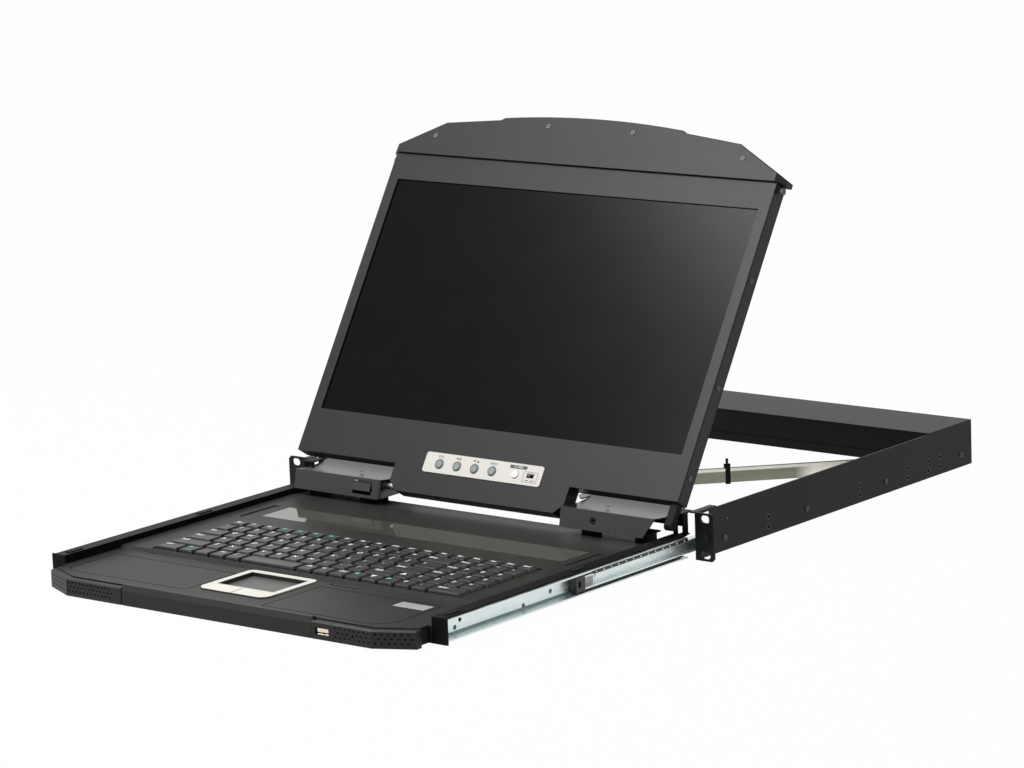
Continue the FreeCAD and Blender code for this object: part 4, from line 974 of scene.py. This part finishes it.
# the dark box with the power button's legend, and the frame of the slide switch with its marks,
# each (x0, x1, v)
POWER_BOX = (29.6, 48.6, -32.4, -29.2, 0.5)
POWER_WORD = ("POWER", 39.1, -30.8)
POWER_WORD_SIZE = 2.9
SWITCH_FRAME = (46.8, 62.2, -43.6, -34.0, 0.8)
SWITCH_LINE = 0.35
SWITCH_MARKS = ((50.2, 58.6, -35.6), (49.6, 53.4, -41.9), (55.2, 59.6, -41.9))


def build_plate():
    """Legends of the control plate; the maker's place on the chin stays bare."""
    plate = upright(ON_DISPLAY, PLATE_FACE)
    words = [(word, x, BUTTON_WORD_V) for word, x in zip(BUTTON_WORDS, BUTTON_XS)]

    def power_box(bm):
        slab(bm, plate, rounded(*POWER_BOX), 0.0, PRINT, 0.02)

    def switch_frame(bm):
        ribbon(bm, plate, rounded(*SWITCH_FRAME), SWITCH_LINE, 0.0, PRINT, closed=True)
        for x0, x1, v in SWITCH_MARKS:
            mark = rounded(x0, x1, v - SWITCH_LINE, v + SWITCH_LINE, 0.1)
            slab(bm, plate, mark, 0.0, PRINT)

    text_mesh("plate_legends", words, BUTTON_WORD_SIZE, plate, "display", INK_DARK,
              BUTTON_WORD_THICKNESS)
    detail("plate_power_box", "display", INK_DARK, "stop_black", power_box)
    text_mesh("plate_power_legend", [POWER_WORD], POWER_WORD_SIZE,
              upright(ON_DISPLAY, PLATE_FACE + PRINT), "display", INK_WHITE, PRINT)
    detail("plate_switch_frame", "display", INK_DARK, "stop_black", switch_frame)

    face = upright(ON_DISPLAY, BUTTON_FACE)
    for number, x in enumerate(BUTTON_XS, 1):
        ring = circle(x, BUTTON_V, RING_RADIUS)
        detail("button_ring_%d" % number, "menu_button_%d" % number, BUTTON_RING, "button_grey",
               lambda bm: ribbon(bm, face, ring, RING_WIDTH, *RING_LEVELS, closed=True))


# ---------------------------------------------------------------- hinge covers

# right-hand outlines of the tab at a cover's inner rear and of its closing wall
COVER_TAB = ((103, -4), (103, 11.9), (92, 11.9), (92, 6), (99.5, -2))
COVER_WALL = ((103.2, 10.4), (202.8, 10.4), (202.8, 11.9), (103.2, 11.9))
TAB_LEVELS = (40.4, 41.6, 0.25)
WALL_LEVELS = (25.0, 41.3)

# (x, y, z) of the screws on the covers and the hinge brackets, and the size of their heads
COVER_SCREWS = ((-142.2, -12.5, 40.9), (139.4, -14.4, 40.9), (-212.1, -1.3, 41.9),
                (212.1, -1.3, 41.9))
COVER_SCREW_SINK = 0.35
COVER_SCREW_RADIUS = 2.1
COVER_SCREW_HEIGHT = 0.55


def both_sides(bm, outline, levels):
    """A plate on the right of the drawer and its mirror image on the left."""
    for side in (-1, 1):
        mirrored = [(side * x, y) for x, y in outline]
        slab(bm, ON_DRAWER, mirrored[::side], *levels)


def build_covers():
    """The tab at the inner rear of each cover, its closing wall and its screw."""
    def screws(bm):
        for x, y, z in COVER_SCREWS:
            seat = ON_DRAWER @ Matrix.Translation((0, 0, z - COVER_SCREW_SINK))
            rivet(bm, seat, x, y, COVER_SCREW_RADIUS, COVER_SCREW_HEIGHT)

    detail("cover_tabs", "drawer", COVER_GREY, "hinge_cover_grey",
           lambda bm: both_sides(bm, COVER_TAB, TAB_LEVELS))
    detail("cover_rear_walls", "drawer", TRAY_BLACK, "tray_black",
           lambda bm: both_sides(bm, COVER_WALL, WALL_LEVELS))
    detail("cover_screws", "drawer", SCREW_STEEL, "screw_steel", screws, smooth=True)


# ---------------------------------------------------------------- slides

# how far the faces of the members lie from the middle of the drawer
DRAWER_WEB = 209.6
MIDDLE_WEB = 212.2
CAGE_FACE = 219.6

# what stands out from a web is no higher than the running gap beside it
THIN = 0.12
PROUD = 0.14
THIN_LEVELS = (0.0, THIN, 0.05)

# the drawer member: a darker strip of painted shade along it, and its rivets, each (y, z)
SLIDE_SHADE_BAND = (-330.6, -8.6, 4.5, 6.7, 0.4)
STUDS = ((-311.0, 9.6), (-222.4, 7.8), (-186.5, 12.1))
STUD_RADIUS = 2.1

# the middle member: its raised rail with a ring and a rivet, each (y, z, radius), and the pale
# tag at its front
RAIL = (-130, -9, 7.4, 14.4, 3.4)
RAIL_LEVELS = (0.0, 0.1, 0.05)
RAIL_RING = (-24.5, 10.4, 2.4)
RAIL_RING_WIDTH = 0.7
RAIL_RIVET = (-60.7, 10.4, 1.1)
TAG = (-146, -132, 7.6, 15.2, 0.6)

# the outer cage and its balls
CAGE_STRIP = (-142, -8, 17.9, 20.7, 1.2)
CAGE_LEVELS = (0.05, 0.5, 0.15)
BALL_START = -137
BALL_PITCH = 10.3
BALL_COUNT = 13
BALL_HEIGHT = 19.3
BALL_RADIUS = 0.85
BALL_PROUD = 0.9


def build_slide(side, label):
    """The marks, rivets, strip of painted shade, ball cage and balls of one slide."""
    drawer = sideways(DRAWER_WEB, side)
    web = sideways(MIDDLE_WEB, side)
    cage = sideways(CAGE_FACE, side)

    def strip(bm):
        slab(bm, cage, rounded(*CAGE_STRIP), *CAGE_LEVELS)

    def balls(bm):
        for step in range(BALL_COUNT):
            rivet(bm, cage, BALL_START + BALL_PITCH * step, BALL_HEIGHT, BALL_RADIUS, BALL_PROUD)

    # painted shade: a darker strip low along the drawer member
    def painted_shade_band(bm):
        slab(bm, drawer, rounded(*SLIDE_SHADE_BAND), *THIN_LEVELS)

    def studs(bm):
        for y, z in STUDS:
            rivet(bm, drawer, y, z, STUD_RADIUS, THIN)

    def rail(bm):
        slab(bm, web, rounded(*RAIL), *RAIL_LEVELS)
        ribbon(bm, web, circle(*RAIL_RING), RAIL_RING_WIDTH, 0.05, PROUD, closed=True)
        rivet(bm, web, *RAIL_RIVET, PROUD)

    def tag(bm):
        slab(bm, web, rounded(*TAG), *THIN_LEVELS)

    detail("slide_studs_" + label, "drawer", SCREW_STEEL, "screw_steel", studs)
    detail("slide_rail_" + label, "middle_slides", SLIDE_ZINC, "slide_zinc", rail)
    detail("slide_tag_" + label, "middle_slides", PLATE, "plate_silver", tag)
    detail("slide_painted_shade_" + label, "drawer", SLIDE_SHADE_ZINC, "slide_zinc", painted_shade_band)
    detail("cage_strip_" + label, "outer_retainers", STOP_BLACK_AND_PAINTED_SHADOW, "stop_black", strip)
    detail("cage_balls_" + label, "outer_retainers", SUPPLY, "supply_steel", balls, smooth=True)


def build_slides():
    """Both slides."""
    build_slide(-1, "left")
    build_slide(1, "right")


# ---------------------------------------------------------------- chassis sides

# rivets beside the ears: height, and (y, radius, how proud)
RIVET_HEIGHT = 28.0
SIDE_RIVETS = ((44.8, 1.2, 0.5), (37.1, 0.45, 0.3), (52.6, 0.45, 0.3))

# the holes for the rear brackets, and the nuts that close them from the inside, with the height
# and corner radius of each row
BRACKET_HOLES = (106.6, 249.0, 327.8, 361.9, 382.3)
HOLE_HEIGHTS = (7.4, 16.4)
RIM_RADIUS = 2.1
RIM_WIDTH = 0.8
RIM_LEVELS = (-0.1, 0.06)
NUT_HALF = 3.2
NUT_HEIGHTS = ((4.6, 9.4, 0.6), (15.2, 19.4, 0.6))
NUT_FACE = 221.0
NUT_THICKNESS = 0.7


def build_marks():
    """Rivets on the chassis sides, and the rims and nuts of the bracket holes."""
    def rivets(bm):
        for side in (-1, 1):
            wall = sideways(CHASSIS_HALF_WIDTH, side)
            for y, radius, height in SIDE_RIVETS:
                rivet(bm, wall, y, RIVET_HEIGHT, radius, height)

    def nuts(bm):
        for side in (-1, 1):
            seat = sideways(NUT_FACE, side)
            for y in BRACKET_HOLES:
                for heights in NUT_HEIGHTS:
                    outline = rounded(y - NUT_HALF, y + NUT_HALF, *heights)
                    slab(bm, seat, outline, 0.0, NUT_THICKNESS)

    def rims(bm):
        for side in (-1, 1):
            wall = sideways(CHASSIS_HALF_WIDTH, side)
            for y in BRACKET_HOLES:
                for z in HOLE_HEIGHTS:
                    ribbon(bm, wall, circle(y, z, RIM_RADIUS, 8), RIM_WIDTH, *RIM_LEVELS,
                           closed=True)

    detail("bracket_hole_rims", "chassis", STOP_BLACK_AND_PAINTED_SHADOW, "stop_black", rims)
    detail("side_rivets", "chassis", SCREW_STEEL, "screw_steel", rivets, smooth=True)
    detail("bracket_nuts", "chassis", STOP_BLACK_AND_PAINTED_SHADOW, "stop_black", nuts)


def build_details():
    """Every small form that stands on or is cut into the CAD nodes."""
    build_grips()
    build_socket()
    build_deck()
    build_screws()
    build_bezel()
    build_plate()
    build_covers()
    build_slides()
    build_marks()


# ---------------------------------------------------------------- stage

# camera: degrees of azimuth, elevation and roll, metres to its target, lens and shifts
CAMERA_TURN = (38.879, 11.150, -2.142)
CAMERA_TARGET = (0.07329, -0.050, 0.14108)
CAMERA_DISTANCE = 3.6461
SENSOR_MM = 36.0
LENS_MM = 148.66031
CAMERA_SHIFT = (-0.00496094, -0.01489258)

# lamps: name, place, target and size in metres, and power in watts
LAMPS = (
    ("top", (0.3, -0.8, 3.2), (0, 0, 0.1), (2.4, 2.4), 50),
    ("side", (-0.55, -0.98, 1.42), (0.19, 0.05, 0.15), (0.4, 0.9), 11),
    ("screen", (-0.84, -0.84, 1.70), (0.19, 0.12, 0.25), (0.45, 0.45), 18),
)

WORLD_LIGHT = 0.20

# the floor: its radius and its gap under the object in metres, how white it is where it is seen,
# and the clouds of its paper
FLOOR_RADIUS = 14.0
FLOOR_GAP = 0.0005
FLOOR_WHITE = 0.985
FLOOR_CLOUD_MM = 300.0
FLOOR_GREYS = ((0.50, 0.50, 0.50), (0.55, 0.55, 0.55))


def area_light(name, position, target, size, energy):
    """A lamp that faces its target."""
    light = bpy.data.lights.new(name, "AREA")
    light.shape = "RECTANGLE"
    light.size, light.size_y = size
    light.energy = energy
    obj = bpy.data.objects.new(name, light)
    bpy.context.scene.collection.objects.link(obj)
    obj.location = position
    obj.rotation_mode = "QUATERNION"
    obj.rotation_quaternion = (Vector(target) - Vector(position)).to_track_quat("-Z", "Y")


def seen_white(nodes, links):
    """1 for what the camera, a mirror or glass sees directly."""
    paths = nodes.new("ShaderNodeLightPath")
    seen = paths.outputs["Is Camera Ray"]
    for ray in ("Is Glossy Ray", "Is Transmission Ray"):
        either = nodes.new("ShaderNodeMath")
        either.operation = "MAXIMUM"
        links.new(seen, either.inputs[0])
        links.new(paths.outputs[ray], either.inputs[1])
        seen = either.outputs[0]
    return seen


def white_for_camera(material):
    """The floor is white to the camera and to mirrors, and keeps the shadow that falls on it."""
    nodes, links = material.node_tree.nodes, material.node_tree.links
    shader = nodes["Principled BSDF"]
    output = nodes["Material Output"]
    glow = nodes.new("ShaderNodeEmission")
    glow.inputs["Strength"].default_value = 1.0
    share = nodes.new("ShaderNodeMath")
    share.operation = "MULTIPLY"
    share.inputs[1].default_value = FLOOR_WHITE
    links.new(seen_white(nodes, links), share.inputs[0])
    mix = nodes.new("ShaderNodeMixShader")
    links.new(share.outputs[0], mix.inputs["Fac"])
    links.new(shader.outputs["BSDF"], mix.inputs[1])
    links.new(glow.outputs["Emission"], mix.inputs[2])
    links.new(mix.outputs[0], output.inputs["Surface"])


def build_floor():
    """A wide pale disc just under the object."""
    f = Finish("floor paper", 0.9)
    f.colour(f.blend(f.noise(FLOOR_CLOUD_MM), *FLOOR_GREYS))
    white_for_camera(f.material)
    bm = bmesh.new()
    low = cad_bounds[0].z - FLOOR_GAP
    bmesh.ops.create_circle(bm, cap_ends=True, segments=96, radius=FLOOR_RADIUS,
                            matrix=Matrix.Translation((0, 0, low)))
    mesh = bpy.data.meshes.new("floor")
    bm.to_mesh(mesh)
    bm.free()
    floor = bpy.data.objects.new("floor", mesh)
    bpy.context.scene.collection.objects.link(floor)
    paint(floor, f.material)


def build_world():
    """A dim world for the surfaces that is white where it is seen."""
    world = bpy.data.worlds.new("studio")
    bpy.context.scene.world = world
    world.use_nodes = True
    nodes, links = world.node_tree.nodes, world.node_tree.links
    back = nodes["Background"]
    back.inputs["Color"].default_value = (1, 1, 1, 1)
    strength = nodes.new("ShaderNodeMapRange")
    strength.inputs["To Min"].default_value = WORLD_LIGHT
    strength.inputs["To Max"].default_value = 1.0
    links.new(seen_white(nodes, links), strength.inputs["Value"])
    links.new(strength.outputs["Result"], back.inputs["Strength"])


def build_camera():
    """The camera, a little above the front right corner and rolled about its own axis."""
    azimuth, elevation, roll = (math.radians(a) for a in CAMERA_TURN)
    away = Vector((math.sin(azimuth) * math.cos(elevation),
                   -math.cos(azimuth) * math.cos(elevation), math.sin(elevation)))
    camera_data = bpy.data.cameras.new("camera")
    camera_data.sensor_width = SENSOR_MM
    camera_data.lens = LENS_MM
    camera_data.shift_x, camera_data.shift_y = CAMERA_SHIFT
    camera_data.clip_end = 100.0
    camera = bpy.data.objects.new("camera", camera_data)
    bpy.context.scene.collection.objects.link(camera)
    camera.location = Vector(CAMERA_TARGET) + away * CAMERA_DISTANCE
    turn = (-away).to_track_quat("-Z", "Y").to_matrix().to_4x4()
    camera.rotation_mode = "QUATERNION"
    camera.rotation_quaternion = (turn @ Matrix.Rotation(roll, 4, "Z")).to_quaternion()
    bpy.context.scene.camera = camera
    bpy.context.scene.view_settings.view_transform = "Standard"


def build_stage():
    """Camera, floor, world and lamps."""
    build_camera()
    build_floor()
    build_world()
    for lamp in LAMPS:
        area_light(*lamp)


build_stage()
paint_nodes()
build_keyboard()
build_details()

bpy.context.view_layer.update()
